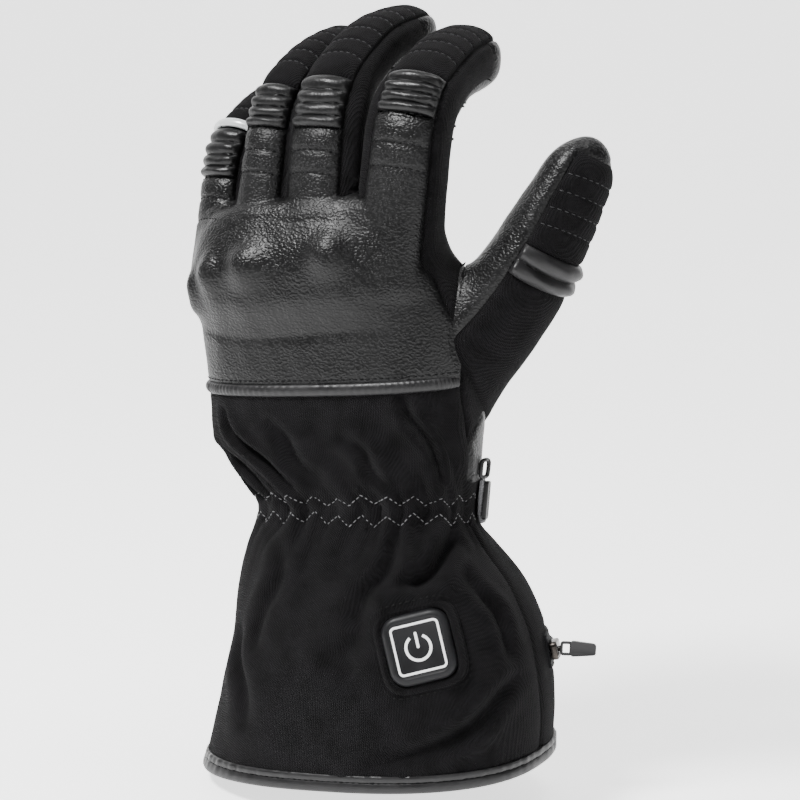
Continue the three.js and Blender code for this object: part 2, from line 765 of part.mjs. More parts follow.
// Wrist and gauntlet
const gauntletColumns = 10;
add("wrist_gather", bodyPatch(0, 360, gatherBottom, gatherTop, 2 * pleatCount, 2, pleats), "softshell");
const buttonFrame = surfaceFrame(buttonAngle, buttonHeight, buttonTurn);
const buttonHole = roundedShape(buttonWidth + 2 * seamGap, buttonLength + 2 * seamGap, buttonCorner);
const windowShape = roundedShape(
  buttonWidth + 2 * windowBorder, buttonLength + 2 * windowBorder, buttonCorner + windowBorder / 2,
);
const through = 12;
const holeCutter = placed(prism(buttonHole, -through, through), buttonFrame.clone());
const windowHole = roundedShape(
  buttonWidth + 2 * windowBorder + 2 * seamGap, buttonLength + 2 * windowBorder + 2 * seamGap,
  buttonCorner + windowBorder / 2,
);
const windowCutter = placed(prism(windowHole, -through, through), buttonFrame.clone());
const gauntletTop = gatherBottom - seamGap;
const gauntletFoot = -cuffLength + 1.6;
add(
  "gauntlet_back",
  without(bodyPatch(-sideSeam, sideSeam, gauntletFoot, gauntletTop, gauntletColumns, 7), windowCutter),
  "softshell",
);
add("gauntlet_palm", bodyPatch(180 - sideSeam, 180 + sideSeam, gauntletFoot, gauntletTop, gauntletColumns, 6), "softshell");
const bindingOut = seamGap + bindingThickness;
const bindingIn = wall + seamGap + bindingThickness;
const bindingFoot = gauntletFoot - seamGap - bindingThickness;
add(
  "hem_binding",
  bodySweep(
    [
      [seamGap, bindingFoot + bindingHeight],
      [seamGap, gauntletFoot - seamGap],
      [-wall - seamGap, gauntletFoot - seamGap],
      [-wall - seamGap, bindingFoot + bindingHeight],
      [-bindingIn, bindingFoot + bindingHeight],
      [-bindingIn, bindingFoot],
      [bindingOut - 0.7, bindingFoot],
      [bindingOut, bindingFoot + 0.7],
      [bindingOut, bindingFoot + bindingHeight],
    ],
    -sideSeam, 360 - sideSeam, 2 * gauntletColumns,
  ),
  "trim",
);

// Power button: fabric window, rubber pad, printed outline, ring and bar let into the pad
add(
  "button_window",
  without(placed(prism(windowShape, -windowSink, windowLift, 0.4), buttonFrame.clone()), holeCutter),
  "softshell",
);
const outline = (size, stroke, corner) => {
  const shape = roundedShape(size, size, corner);
  shape.holes.push(roundedShape(size - 2 * stroke, size - 2 * stroke, corner - stroke * 0.7));
  return shape;
};
const markFloor = buttonRise - markDepth;
const markSpan = (grow) => [markFloor + (grow ? 0 : seamGap), buttonRise + (grow ? 1 : 0.05)];
const marks = (grow) => {
  const [low, high] = markSpan(grow);
  const stretch = grow ? seamGap : 0;
  return {
    button_outline: prism(outline(outlineSize + 2 * stretch, markStroke + 2 * stretch, 2.2 + stretch), low, high, 0, 1),
    power_ring: prism(arcShape(powerRadius, powerStroke + 2 * stretch, powerOpening - 7 * stretch / seamGap), low, high, 0, 6),
    power_bar: prism(
      roundedShape(powerStroke + 2 * stretch, powerBarLength + 2 * stretch, powerStroke / 2 - 0.05 + stretch), low, high, 0, 2,
    ).translate(0, powerBarLength / 2 - 0.2, 0),
  };
};
let pad = placed(
  prism(roundedShape(buttonWidth, buttonLength, buttonCorner), -buttonSink, buttonRise, 1.1),
  buttonFrame.clone(),
);
for (const cut of Object.values(marks(true))) pad = pad.subtract(placed(cut, buttonFrame.clone()));
add("button_pad", pad, "rubber");
for (const [name, mark] of Object.entries(marks(false))) add(name, placed(mark, buttonFrame.clone()), "print");

// Reflective piping above the ribs of the little finger
const little = rigs.little;
const pipingShare = little.ribs[1] + shareGap(little);
add(
  "little_reflective_piping",
  fingerPatch(little, -backSpread, backSpread, evenly(pipingShare, pipingShare + reflectiveWidth / little.length, 2), 4,
    () => seamGap + reflectiveLift, -seamGap),
  "reflective",
);

// Battery pocket zip. The slider is parked at the thumb side end.
const zipLow = zipHeight - zipTapeWidth / 2;
const zipHigh = zipHeight + zipTapeWidth / 2;
const tapeTop = zipTapeFloor + zipTapeThickness;
add("zip_tape", bodyPatch(zipFrom, zipTo, zipLow, zipHigh, 10, 1, () => tapeTop, -zipTapeFloor), "zip");
const teethTop = tapeTop + seamGap + zipTeethThickness;
add(
  "zip_teeth",
  bodyPatch(zipFrom + 9, zipTo - 3, zipHeight - zipTeethWidth / 2, zipHeight + zipTeethWidth / 2, 10, 1,
    () => teethTop, -tapeTop - seamGap),
  "zip",
);
const sliderFrame = surfaceFrame(zipFrom + 3.6, zipHeight);
const sliderFloor = tapeTop + seamGap;
const sliderTop = sliderFloor + sliderHeight;
const slider = placed(prism(roundedShape(sliderLength, sliderWidth, 1.6), sliderFloor, sliderTop, 0.5, 1), sliderFrame.clone());
const crownSpan = 4.4;
const crownRise = 2.2;
const crownThick = 1.4;
const crownShape = new THREE.Shape();
crownShape.moveTo(-crownSpan / 2, 0);
crownShape.lineTo(crownSpan / 2, 0);
crownShape.lineTo(crownSpan / 2 - 0.5, crownRise + 0.2);
crownShape.lineTo(-crownSpan / 2 + 0.5, crownRise + 0.2);
const crownEye = new THREE.Path();
crownEye.absellipse(0, crownRise / 2 + 0.05, bailWire / 2 + seamGap + 0.1, bailWire / 2 + seamGap, 0, Math.PI * 2);
crownShape.holes.push(crownEye);
const crown = new THREE.ExtrudeGeometry(crownShape, { depth: crownThick, bevelEnabled: false, curveSegments: 4 });
crown.translate(0, 0, -crownThick / 2).rotateX(Math.PI / 2).translate(0, 0, sliderTop - 0.1);
add("zip_slider", joined(slider, placed(crown, sliderFrame.clone())), "metal");

// The pull turns on the wire that runs through the slider's crown, square to the zip.
const hingeRise = sliderTop - 0.1 + crownRise / 2 + 0.05;
const pullFrame = sliderFrame
  .clone()
  .multiply(new THREE.Matrix4().makeTranslation(0, 0, hingeRise))
  .multiply(new THREE.Matrix4().makeRotationY((pullTurn - 90) * degrees));
function wire(from, to) {
  const start = new THREE.Vector3(...from);
  const end = new THREE.Vector3(...to);
  const span = end.clone().sub(start);
  const bar = new THREE.CylinderGeometry(bailWire / 2, bailWire / 2, span.length(), 8);
  const turn = new THREE.Quaternion().setFromUnitVectors(new THREE.Vector3(0, 1, 0), span.clone().normalize());
  bar.applyQuaternion(turn).translate(...start.add(end).multiplyScalar(0.5).toArray());
  return bar;
}
const bailHalf = (bailWidth - bailWire) / 2;
const tabShape = new THREE.Shape();
tabShape.moveTo(bailLength - 1.2, -pullWidth / 2 - 0.35);
tabShape.lineTo(bailLength + pullLength - 1.8, -pullEndWidth / 2);
tabShape.lineTo(bailLength + pullLength - 1.2, -pullEndWidth / 2 + 0.8);
tabShape.lineTo(bailLength + pullLength - 1.2, pullEndWidth / 2 - 0.8);
tabShape.lineTo(bailLength + pullLength - 1.8, pullEndWidth / 2);
tabShape.lineTo(bailLength - 1.2, pullWidth / 2 + 0.35);
const pullPieces = [
  wire([0, -bailHalf - bailWire / 2, 0], [0, bailHalf + bailWire / 2, 0]),
  wire([0, -bailHalf, 0], [bailLength, -bailHalf, 0]),
  wire([0, bailHalf, 0], [bailLength, bailHalf, 0]),
  prism(tabShape, -pullThickness / 2, pullThickness / 2, 0.35),
];
add("zip_pull", joined(...pullPieces.map((piece) => placed(piece, pullFrame.clone()))), "metal");

// Wrist strap over the gathers on the palm side, its tab and its loop
const strapFloor = pleatHeight + seamGap;
const strapTopLift = strapFloor + strapThickness;
add("wrist_strap",
  bodyPatch(97, 263, strapBottom, strapTop, 12, 2, () => strapTopLift, -strapFloor), "elastic");
const tabFloor = strapTopLift + seamGap;
add("strap_tab",
  bodyPatch(98, 98 + tabWidth * 1.6, -5, -5 + tabLength * 0.78, 2, 2, () => tabFloor + tabThickness, -tabFloor), "trim");
const loopFrame = surfaceFrame(101, 15.5);
const loop = new THREE.TorusGeometry(loopRadius, loopWire / 2 + 0.15, 5, 11);
loop.rotateY(Math.PI / 2).translate(0, 0, loopRadius + loopWire / 2 + 0.15 + seamGap - loopSink);
add("strap_loop", placed(loop, loopFrame.clone()), "trim");

export default group;
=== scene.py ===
"""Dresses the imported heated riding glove: cut and sewn panels, ribs, trims, stitches, button, zip, strap
and the stage. The shape is worked out in millimetres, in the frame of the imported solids, and every mesh
is written in metres."""

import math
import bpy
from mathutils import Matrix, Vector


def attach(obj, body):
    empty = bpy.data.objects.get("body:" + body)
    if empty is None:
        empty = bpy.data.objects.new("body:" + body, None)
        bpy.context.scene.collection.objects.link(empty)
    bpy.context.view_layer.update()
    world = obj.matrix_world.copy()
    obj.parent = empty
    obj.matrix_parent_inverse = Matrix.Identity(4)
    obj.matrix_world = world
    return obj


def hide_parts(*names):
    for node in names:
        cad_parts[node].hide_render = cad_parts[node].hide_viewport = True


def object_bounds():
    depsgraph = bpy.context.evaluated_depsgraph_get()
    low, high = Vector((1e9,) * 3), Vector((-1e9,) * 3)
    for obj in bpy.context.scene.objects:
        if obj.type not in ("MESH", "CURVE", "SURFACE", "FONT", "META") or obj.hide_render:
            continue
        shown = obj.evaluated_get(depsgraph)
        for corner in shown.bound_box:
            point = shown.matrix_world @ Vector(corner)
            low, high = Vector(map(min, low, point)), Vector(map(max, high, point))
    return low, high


bl_info = {
    "name": "Heated riding glove",
    "version": (1, 0, 0),
    "blender": (4, 5, 0),
    "location": "View3D > Sidebar > Glove",
    "description": "Builds the glove's panels, trims, stitches, button, zip and strap over the packed solids",
    "category": "Object",
}

import bpy
import bmesh
import numpy as np
from mathutils import Matrix, Vector
from mathutils.bvhtree import BVHTree

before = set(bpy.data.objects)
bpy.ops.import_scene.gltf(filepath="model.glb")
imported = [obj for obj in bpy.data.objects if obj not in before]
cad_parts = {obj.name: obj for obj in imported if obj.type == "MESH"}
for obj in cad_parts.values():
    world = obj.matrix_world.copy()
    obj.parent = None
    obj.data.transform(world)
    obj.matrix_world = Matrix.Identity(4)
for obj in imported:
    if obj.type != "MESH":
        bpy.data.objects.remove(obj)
CAD_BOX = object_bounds()
MM = 0.001
BODY = "glove"
PULL = "pull"
# Widest angle between faces that is still shaded smooth, in degrees
CLOTH_SMOOTH = 55.0
HARD_SMOOTH = 35.0
# Distance from a seam that is noted for pieces with no seam of their own
BESIDE_SEAM = 3.0
NO_SEAM = 5.0

# Sizes of the cut and sewn body, the same as the solids have
CUFF_LENGTH = 100.0
PALM_LENGTH = 118.0
HAND_WIDTH = 108.0
HAND_THICKNESS = 46.0
GAUNTLET_WIDTH = 134.0
GAUNTLET_THICKNESS = 94.0
WALL = 2.0
SQUARENESS = 2.5
FINGER_SQUARENESS = 2.3
GATHER_BOTTOM = -6.0
GATHER_TOP = 9.0
PIPING_BOTTOM = 44.6
PIPING_TOP = 49.2
PIPING_LIFT = 1.4
PIPING_END = 73.3
OUTER_SEAM = -76.0
BACK_SPREAD = 53.0
FRONT_SPREAD = 117.0
TIP_WRAP_FROM = 0.865
TIP_CAP_FROM = 0.958
GAUNTLET_FOOT = -98.4
BINDING_HEIGHT = 7.0
BINDING_THICKNESS = 0.9
RIB_HEIGHT = 1.5
RIB_COUNT = 4
THUMB_TUBE_HEIGHT = 2.0
THUMB_TUBE_COUNT = 2
TIP_ROUNDNESS = 15.0
BEND_SPAN = 0.26
PATH_STEPS = 60

# Cross sections: height, shift, width, back, palm and rock, as shares of the named sizes
CUFF_ROWS = (
    (-1.0, 4.6, 1.02, 0.99, 0.99, 0.0),
    (-0.9, 6.2, 1.0, 0.98, 0.98, 0.0),
    (-0.76, 8.0, 0.975, 0.97, 0.97, 0.0),
    (-0.6, 9.0, 0.935, 0.95, 0.95, 0.0),
    (-0.45, 9.0, 0.88, 0.89, 0.89, 0.0),
    (-0.3, 6.0, 0.815, 0.8, 0.81, 0.03),
    (-0.15, 1.5, 0.71, 0.66, 0.68, 0.1),
    (-0.06, 0.3, 0.65, 0.6, 0.61, 0.14),
)
HAND_ROWS = (
    (0.02, 0.0, 0.806, 1.2, 1.23, 0.14),
    (0.085, -2.2, 0.86, 1.16, 1.22, 0.12),
    (0.15, -5.0, 0.925, 1.13, 1.2, 0.08),
    (0.235, -9.0, 0.99, 1.1, 1.19, 0.03),
    (0.34, -9.5, 1.0, 1.07, 1.16, 0.0),
    (0.51, -11.5, 1.01, 1.04, 1.08, 0.0),
    (0.68, -15.0, 1.0, 1.03, 1.0, 0.0),
    (0.805, -18.5, 0.93, 0.99, 0.96, 0.0),
    (0.915, -19.5, 0.87, 0.84, 0.86, 0.0),
    (0.97, -19.5, 0.79, 0.68, 0.66, 0.0),
    (1.0, -19.5, 0.62, 0.3, 0.3, 0.0),
)
# Seams up the hand: height and angle round it. Angle 0 is the middle of the back, +90 the thumb side.
THUMB_SEAM = np.array(((0, 86), (28, 84), (43, 75), (95, 66), (118, 67)), float)
STRIP_SEAM = np.array(((24, 86), (36, 102), (48, 106), (72, 101), (95, 101), (118, 101)), float)
# Moulded knuckle bumps: angle and height
KNUCKLES = ((-62, 84), (-40, 91), (-16, 94), (14, 96))
KNUCKLE_HEIGHT = 3.2
KNUCKLE_REACH = 7.0
KNUCKLE_ROUNDNESS = 2.6
GUARD_HEIGHT = 3.6
# The guard's foot: its height, its slope, its wave and the crease along it
GUARD_FOOT = 68.0
GUARD_SLOPE = 0.028
GUARD_WAVE = 1.2
GUARD_CREASE = (0.5, 1.6)
# Angles at which the guard is full, how far it fades beyond them, and the same for its heights
GUARD_SIDES = ((-74.0, 24.0), (42.0, 34.0))
GUARD_RISE = 15.0
GUARD_TOP = (116.0, 26.0)
FORK_SWELL = 2.4
GATHER_NO_SEAM = 6.0
# Rows of stitches across the leather below each finger's ribs, in millimetres below them, and their bend
TONGUE_ROWS = (1.6, 9.5, 18.0)
ROW_BEND = 1.4
TONGUE_PUFF = 0.3
TONGUE_VALLEY = 0.75
# Deep folds: angle and height of both ends, depth and reach
FOLDS = (
    (30, -10, 6, -34, 2.6, 4.0),
    (6, -34, 2, -58, 1.5, 4.5),
    (70, -12, 20, -27, 3.2, 4.2),
    (66, -24, 76, -52, 2.0, 4.0),
    (14, -90, 74, -62, 1.9, 5.0),
    (-50, -44, -30, -76, 1.7, 5.0),
    (-20, -16, -34, -46, 1.5, 4.5),
    (-46, 38, -16, 8, 2.6, 3.2),
    (-58, 26, -34, 4, 2.1, 3.0),
    (-64, 22, -46, 2, 1.8, 2.8),
    (-14, 34, -4, 12, 2.4, 3.6),
    (36, 44, 60, 12, 2.3, 3.2),
    (10, 28, 26, 8, 1.8, 3.4),
    (146, -16, 166, -40, 1.6, 4.5),
    (-140, -28, -168, -66, 1.8, 5.0),
    (176, 30, 150, 12, 1.4, 4.0),
)
DEGREES_TO_REACH = 0.75
FOLD_STRENGTH = 1.45
FOLD_WANDER = 1.3
FOLD_WAVES = 7.0
CREASE_SHARE = 0.55
SWELL_DEPTH = 0.45
SWELL_PLACE = 1.35
SWELL_SHARE = 0.8
# Fine creases above the knuckles: angle and height of their middle, and lean
CROW_FEET = ((-6.0, 112.0, 0.25), (4.0, 108.5, -0.2), (-28.0, 108.0, 0.3), (34.0, 104.0, -0.5))
CROW_FEET_DEPTH = 0.2
# Unevenness of the skin: length of its waves, seed, and height on leather and on cloth
WAVES = ((34.0, 3, 0.3, 0.36), (12.0, 5, 0.14, 0.1))
# The cloth that the zip's tape holds flat: its two angles, half its height and how it fades
ZIP_HEIGHT = -58.0
ZIP_BED = (94.0, 200.0, 10.5)
ZIP_BED_FADE = (4.0, 2.5)
ZIP_REST = 0.05
SEAM_PUFF_REACH = 3.2
SEAM_VALLEY_REACH = 0.9
FINGERS = {
    "index": dict(
        root=(16.8, -7.2, 88.0), lean=4.5, roll=3.0, bends=(4, 64, 84), length=122.0,
        width=31.0, depth=27.5, joints=(0.52, 0.75), taper=0.13, tapering=1.0, ribs=(0.48, 0.57),
    ),
    "middle": dict(
        root=(-14.8, -9.0, 90.0), lean=-1.4, roll=-4.0, bends=(10, 59, 83), length=134.0,
        width=29.0, depth=24.0, joints=(0.48, 0.74), taper=0.17, tapering=1.0, ribs=(0.385, 0.5),
    ),
    "ring": dict(
        root=(-39.9, -8.1, 86.0), lean=-0.6, roll=-5.5, bends=(13, 60, 80), length=122.0,
        width=24.4, depth=25.0, joints=(0.53, 0.76), taper=0.19, tapering=1.0, ribs=(0.445, 0.55),
    ),
    "little": dict(
        root=(-60.4, -2.3, 76.0), lean=-4.4, roll=-17.0, bends=(13.5, 55, 79), length=100.0,
        width=24.0, depth=24.0, joints=(0.56, 0.78), taper=0.13, tapering=1.0, ribs=(0.445, 0.59),
    ),
    "thumb": dict(
        root=(11.0, 11.0, 28.0), lean=38.5, roll=57.0, bends=(-2, 2, 19), length=135.0,
        width=38.5, depth=34.0, joints=(0.35, 0.62), taper=0.45, tapering=2.5, ribs=(0.6, 0.68),
    ),
}
HANDS = ("index", "middle", "ring", "little")


def signed_power(value, exponent):
    """A power that keeps the sign."""
    return np.sign(value) * np.abs(value) ** exponent


def ease(share):
    """Runs smoothly from 0 to 1."""
    t = np.clip(share, 0.0, 1.0)
    return t * t * (3.0 - 2.0 * t)


def bump(distance, reach):
    """A soft bell of height 1."""
    return np.exp(-((distance / reach) ** 2))


def full_turn(steps):
    """Even angles round a full turn, in radians."""
    return np.arange(steps) * 2 * np.pi / steps


def unit(vectors):
    """Vectors of length 1."""
    return vectors / np.maximum(1e-6, np.linalg.norm(vectors, axis=-1, keepdims=True))


def read(rows, at):
    """Reads a table at any height, smooth through its rows. The first column is the height."""
    at = np.asarray(at, float)
    last = len(rows) - 1
    i = np.clip(np.searchsorted(rows[:, 0], at) - 1, 0, last - 1)
    a = rows[i]
    b = rows[i + 1]
    before = rows[np.maximum(i - 1, 0)]
    after = rows[np.minimum(i + 2, last)]
    span = b[..., :1] - a[..., :1]
    t = np.clip((at[..., None] - a[..., :1]) / span, 0.0, 1.0)
    slope_a = (b - before) / (b[..., :1] - before[..., :1])
    slope_b = (after - a) / (after[..., :1] - a[..., :1])
    t2 = t * t
    t3 = t2 * t
    return (
        (2 * t3 - 3 * t2 + 1) * a
        + (t3 - 2 * t2 + t) * span * slope_a
        + (3 * t2 - 2 * t3) * b
        + (t3 - t2) * span * slope_b
    )


def body_rows():
    """Height, shift, half width, back, palm, tilt and rock of each cross section, in millimetres."""
    rows = []
    for height, shift, width, back, palm, rock in CUFF_ROWS:
        rows.append((
            height * CUFF_LENGTH, shift, width * GAUNTLET_WIDTH / 2, back * GAUNTLET_THICKNESS / 2,
            palm * GAUNTLET_THICKNESS / 2, 0.08 - 0.02 * height, rock,
        ))
    for height, shift, width, back, palm, rock in HAND_ROWS:
        rows.append((
            height * PALM_LENGTH, shift, width * HAND_WIDTH / 2, back * HAND_THICKNESS / 2,
            palm * HAND_THICKNESS / 2, 0.08 + 0.05 * height, rock,
        ))
    return np.array(rows)


SECTIONS = body_rows()


def body_point(angle, height, lift=0.0):
    """Points of the body's surface at angles round it and heights up it."""
    angle, height, lift = np.broadcast_arrays(angle, np.asarray(height, float), lift)
    row = read(SECTIONS, height)
    turn = np.radians(angle)
    across = signed_power(np.sin(turn), 2.0 / SQUARENESS)
    through = -signed_power(np.cos(turn), 2.0 / SQUARENESS)
    thick = np.where(through < 0, row[..., 3], row[..., 4])
    x = np.maximum(0.2, row[..., 2] + lift) * across
    y = np.maximum(0.1, thick + lift) * through
    return np.stack([row[..., 1] + x, y, height + row[..., 5] * x - row[..., 6] * y], -1)


def body_coordinates(points):
    """Angle round the body, height up it and distance out of its surface."""
    height = points[:, 2].copy()
    for _ in range(4):
        row = read(SECTIONS, height)
        x = points[:, 0] - row[:, 1]
        height = points[:, 2] - row[:, 5] * x + row[:, 6] * points[:, 1]
    row = read(SECTIONS, height)
    x = points[:, 0] - row[:, 1]
    y = points[:, 1]
    across = x / row[:, 2]
    through = y / np.where(y < 0, row[:, 3], row[:, 4])
    half = SQUARENESS / 2.0
    angle = np.degrees(np.arctan2(signed_power(across, half), -signed_power(through, half)))
    ratio = (np.abs(across) ** SQUARENESS + np.abs(through) ** SQUARENESS) ** (1 / SQUARENESS)
    ratio = np.maximum(ratio, 0.05)
    out = np.hypot(x, y) * (1.0 - 1.0 / ratio)
    return angle, height, np.maximum(out, height - PALM_LENGTH)


class Rig:
    """A finger's path: its centre, direction and back at each step from root to tip."""

    def __init__(self, name):
        spec = FINGERS[name]
        self.name = name
        self.length = spec["length"]
        self.width = spec["width"]
        self.depth = spec["depth"]
        self.taper = spec["taper"]
        self.tapering = spec["tapering"]
        self.ribs = spec["ribs"]
        lean = math.radians(spec["lean"])
        roll = math.radians(spec["roll"])
        up = np.array((math.sin(lean), 0.0, math.cos(lean)))
        curl = np.array((-math.sin(roll), math.cos(roll), 0.0))
        curl -= up * curl.dot(up)
        curl /= np.linalg.norm(curl)
        self.side = np.cross(curl, up)
        self.step = self.length / PATH_STEPS
        share = np.arange(PATH_STEPS + 1) / PATH_STEPS
        first, second, third = spec["bends"]
        knee, tip = spec["joints"]
        bend = np.radians(
            first
            + (second - first) * ease((share - knee) / BEND_SPAN + 0.5)
            + (third - second) * ease((share - tip) / BEND_SPAN + 0.5)
        )[:, None]
        self.along = up * np.cos(bend) + curl * np.sin(bend)
        self.back = up * np.sin(bend) - curl * np.cos(bend)
        steps = self.along * self.step
        steps[0] = 0.0
        self.centre = np.array(spec["root"]) + np.cumsum(steps, 0)

    def at(self, place):
        """Centre and back at a place along the path, counted in steps."""
        place = np.clip(place, 0.0, PATH_STEPS - 1e-6)
        i = place.astype(int)
        t = (place - i)[..., None]
        centre = self.centre[i] * (1 - t) + self.centre[i + 1] * t
        back = self.back[i] * (1 - t) + self.back[i + 1] * t
        return centre, back / np.linalg.norm(back, axis=-1, keepdims=True)

    def slim(self, share):
        """How far the finger has narrowed at a share of its length."""
        return 1.0 - self.taper * np.clip(share, 0.0, 1.0) ** self.tapering

    def point(self, angle, share, lift=0.0):
        """Points of the finger's surface. Angle 0 is the middle of its back."""
        angle, share, lift = np.broadcast_arrays(angle, np.asarray(share, float), lift)
        reach = share * self.length
        centre, back = self.at(reach / self.step)
        q = np.clip((reach - self.length + TIP_ROUNDNESS) / TIP_ROUNDNESS, 0.0, 1.0)
        cap = np.sqrt(np.maximum(0.0, 1.0 - q ** 2.2))
        slim = self.slim(share)
        turn = np.radians(angle)
        exponent = 2.0 / FINGER_SQUARENESS
        through = (self.depth / 2 * slim + lift) * cap * signed_power(np.cos(turn), exponent)
        across = (self.width / 2 * slim + lift) * cap * signed_power(np.sin(turn), exponent)
        return centre + back * through[..., None] + self.side * across[..., None]

    def coordinates(self, points):
        """Angle round the finger, share along it and distance out of its surface."""
        near = (points ** 2).sum(1)[:, None] - 2 * points @ self.centre.T + (self.centre ** 2).sum(1)
        i = near.argmin(1)
        ahead = ((points - self.centre[i]) * self.along[i]).sum(1) / self.step
        reach = (i + ahead) * self.step
        centre, back = self.at(i + ahead)
        v = points - centre
        share = reach / self.length
        slim = self.slim(share)
        half_width = self.width / 2 * slim
        half_depth = self.depth / 2 * slim
        across = v @ self.side / half_width
        through = (v * back).sum(1) / half_depth
        half = FINGER_SQUARENESS / 2.0
        angle = np.degrees(np.arctan2(signed_power(across, half), signed_power(through, half)))
        ratio = (np.abs(across) ** FINGER_SQUARENESS + np.abs(through) ** FINGER_SQUARENESS)
        ratio = ratio ** (1 / FINGER_SQUARENESS)
        tip = np.maximum(0.0, (reach - self.length + TIP_ROUNDNESS) / TIP_ROUNDNESS)
        root = np.maximum(0.0, -reach / 10.0)
        total = np.sqrt(ratio ** 2 + tip ** 2.2 + root ** 2)
        return angle, share, (total - 1.0) * np.minimum(half_width, half_depth)


RIGS = {name: Rig(name) for name in FINGERS}
WEB_BLEND = 5.0
THUMB_BLEND = 11.0


def smooth_min(a, b, blend):
    """The lesser of two distances, rounded where they meet."""
    h = np.maximum(blend - np.abs(a - b), 0.0) / blend
    return np.minimum(a, b) - h * h * blend / 4.0


def measured(points):
    """Coordinates of points on the body and on every finger, and their distance out of the glove."""
    found = {"body": body_coordinates(points)}
    out = found["body"][2]
    total = out
    for name, rig in RIGS.items():
        found[name] = rig.coordinates(points)
        blend = THUMB_BLEND if name == "thumb" else WEB_BLEND
        total = np.minimum(total, smooth_min(out, found[name][2], blend))
    return found, total


GRADIENT_STEP = 0.05


def gradient(function, points):
    """Slope of a function of place, by small steps along the three axes."""
    here = function(points)
    slopes = []
    for axis in range(3):
        moved = points.copy()
        moved[:, axis] += GRADIENT_STEP
        slopes.append((function(moved) - here) / GRADIENT_STEP)
    return here, np.stack(slopes, 1)


def settled(points, rounds=3):
    """Moves points onto the glove's smooth surface."""
    for _ in range(rounds):
        value, slope = gradient(lambda p: measured(p)[1], points)
        move = value / np.maximum(0.2, (slope ** 2).sum(1))
        points = points - slope * np.clip(move, -2.0, 2.0)[:, None]
    return points


# Labels of the cut panels, in the order of the score columns
PANELS = (
    "knuckle_panel", "hand_back", "palm_panel", "index_side_strip", "fork_index_middle",
    "fork_middle_ring", "fork_ring_little", "little_side_strip", "index_front", "middle_front",
    "ring_front", "little_front", "thumb_back", "thumb_front", "wrist_gather", "gauntlet_back",
    "gauntlet_palm", "covered",
)
SIDES = {
    ("index", 1): "index_side_strip", ("index", -1): "fork_index_middle",
    ("middle", 1): "fork_index_middle", ("middle", -1): "fork_middle_ring",
    ("ring", 1): "fork_middle_ring", ("ring", -1): "fork_ring_little",
    ("little", 1): "fork_ring_little", ("little", -1): "little_side_strip",
}
LEATHER = ("knuckle_panel", "palm_panel", "thumb_front") + tuple(name + "_front" for name in HANDS)
FAR = -60.0
# How fast a place passes from the body to a finger, in millimetres
JOIN_SHARE = 0.7
JOIN_REACH = 4.5
# Above this height the webs between the fingers close the panels of the back and the palm
WEB_HEIGHT = 108.0
WEB_BACK = -8.0
WEB_PALM = 2.0
BODY_ARC = 0.75
FINGER_ARC = 0.24
THUMB_ARC = 0.3
THUMB_BACK_END = 70.0
PIPING_MIDDLE = (PIPING_BOTTOM + PIPING_TOP) / 2


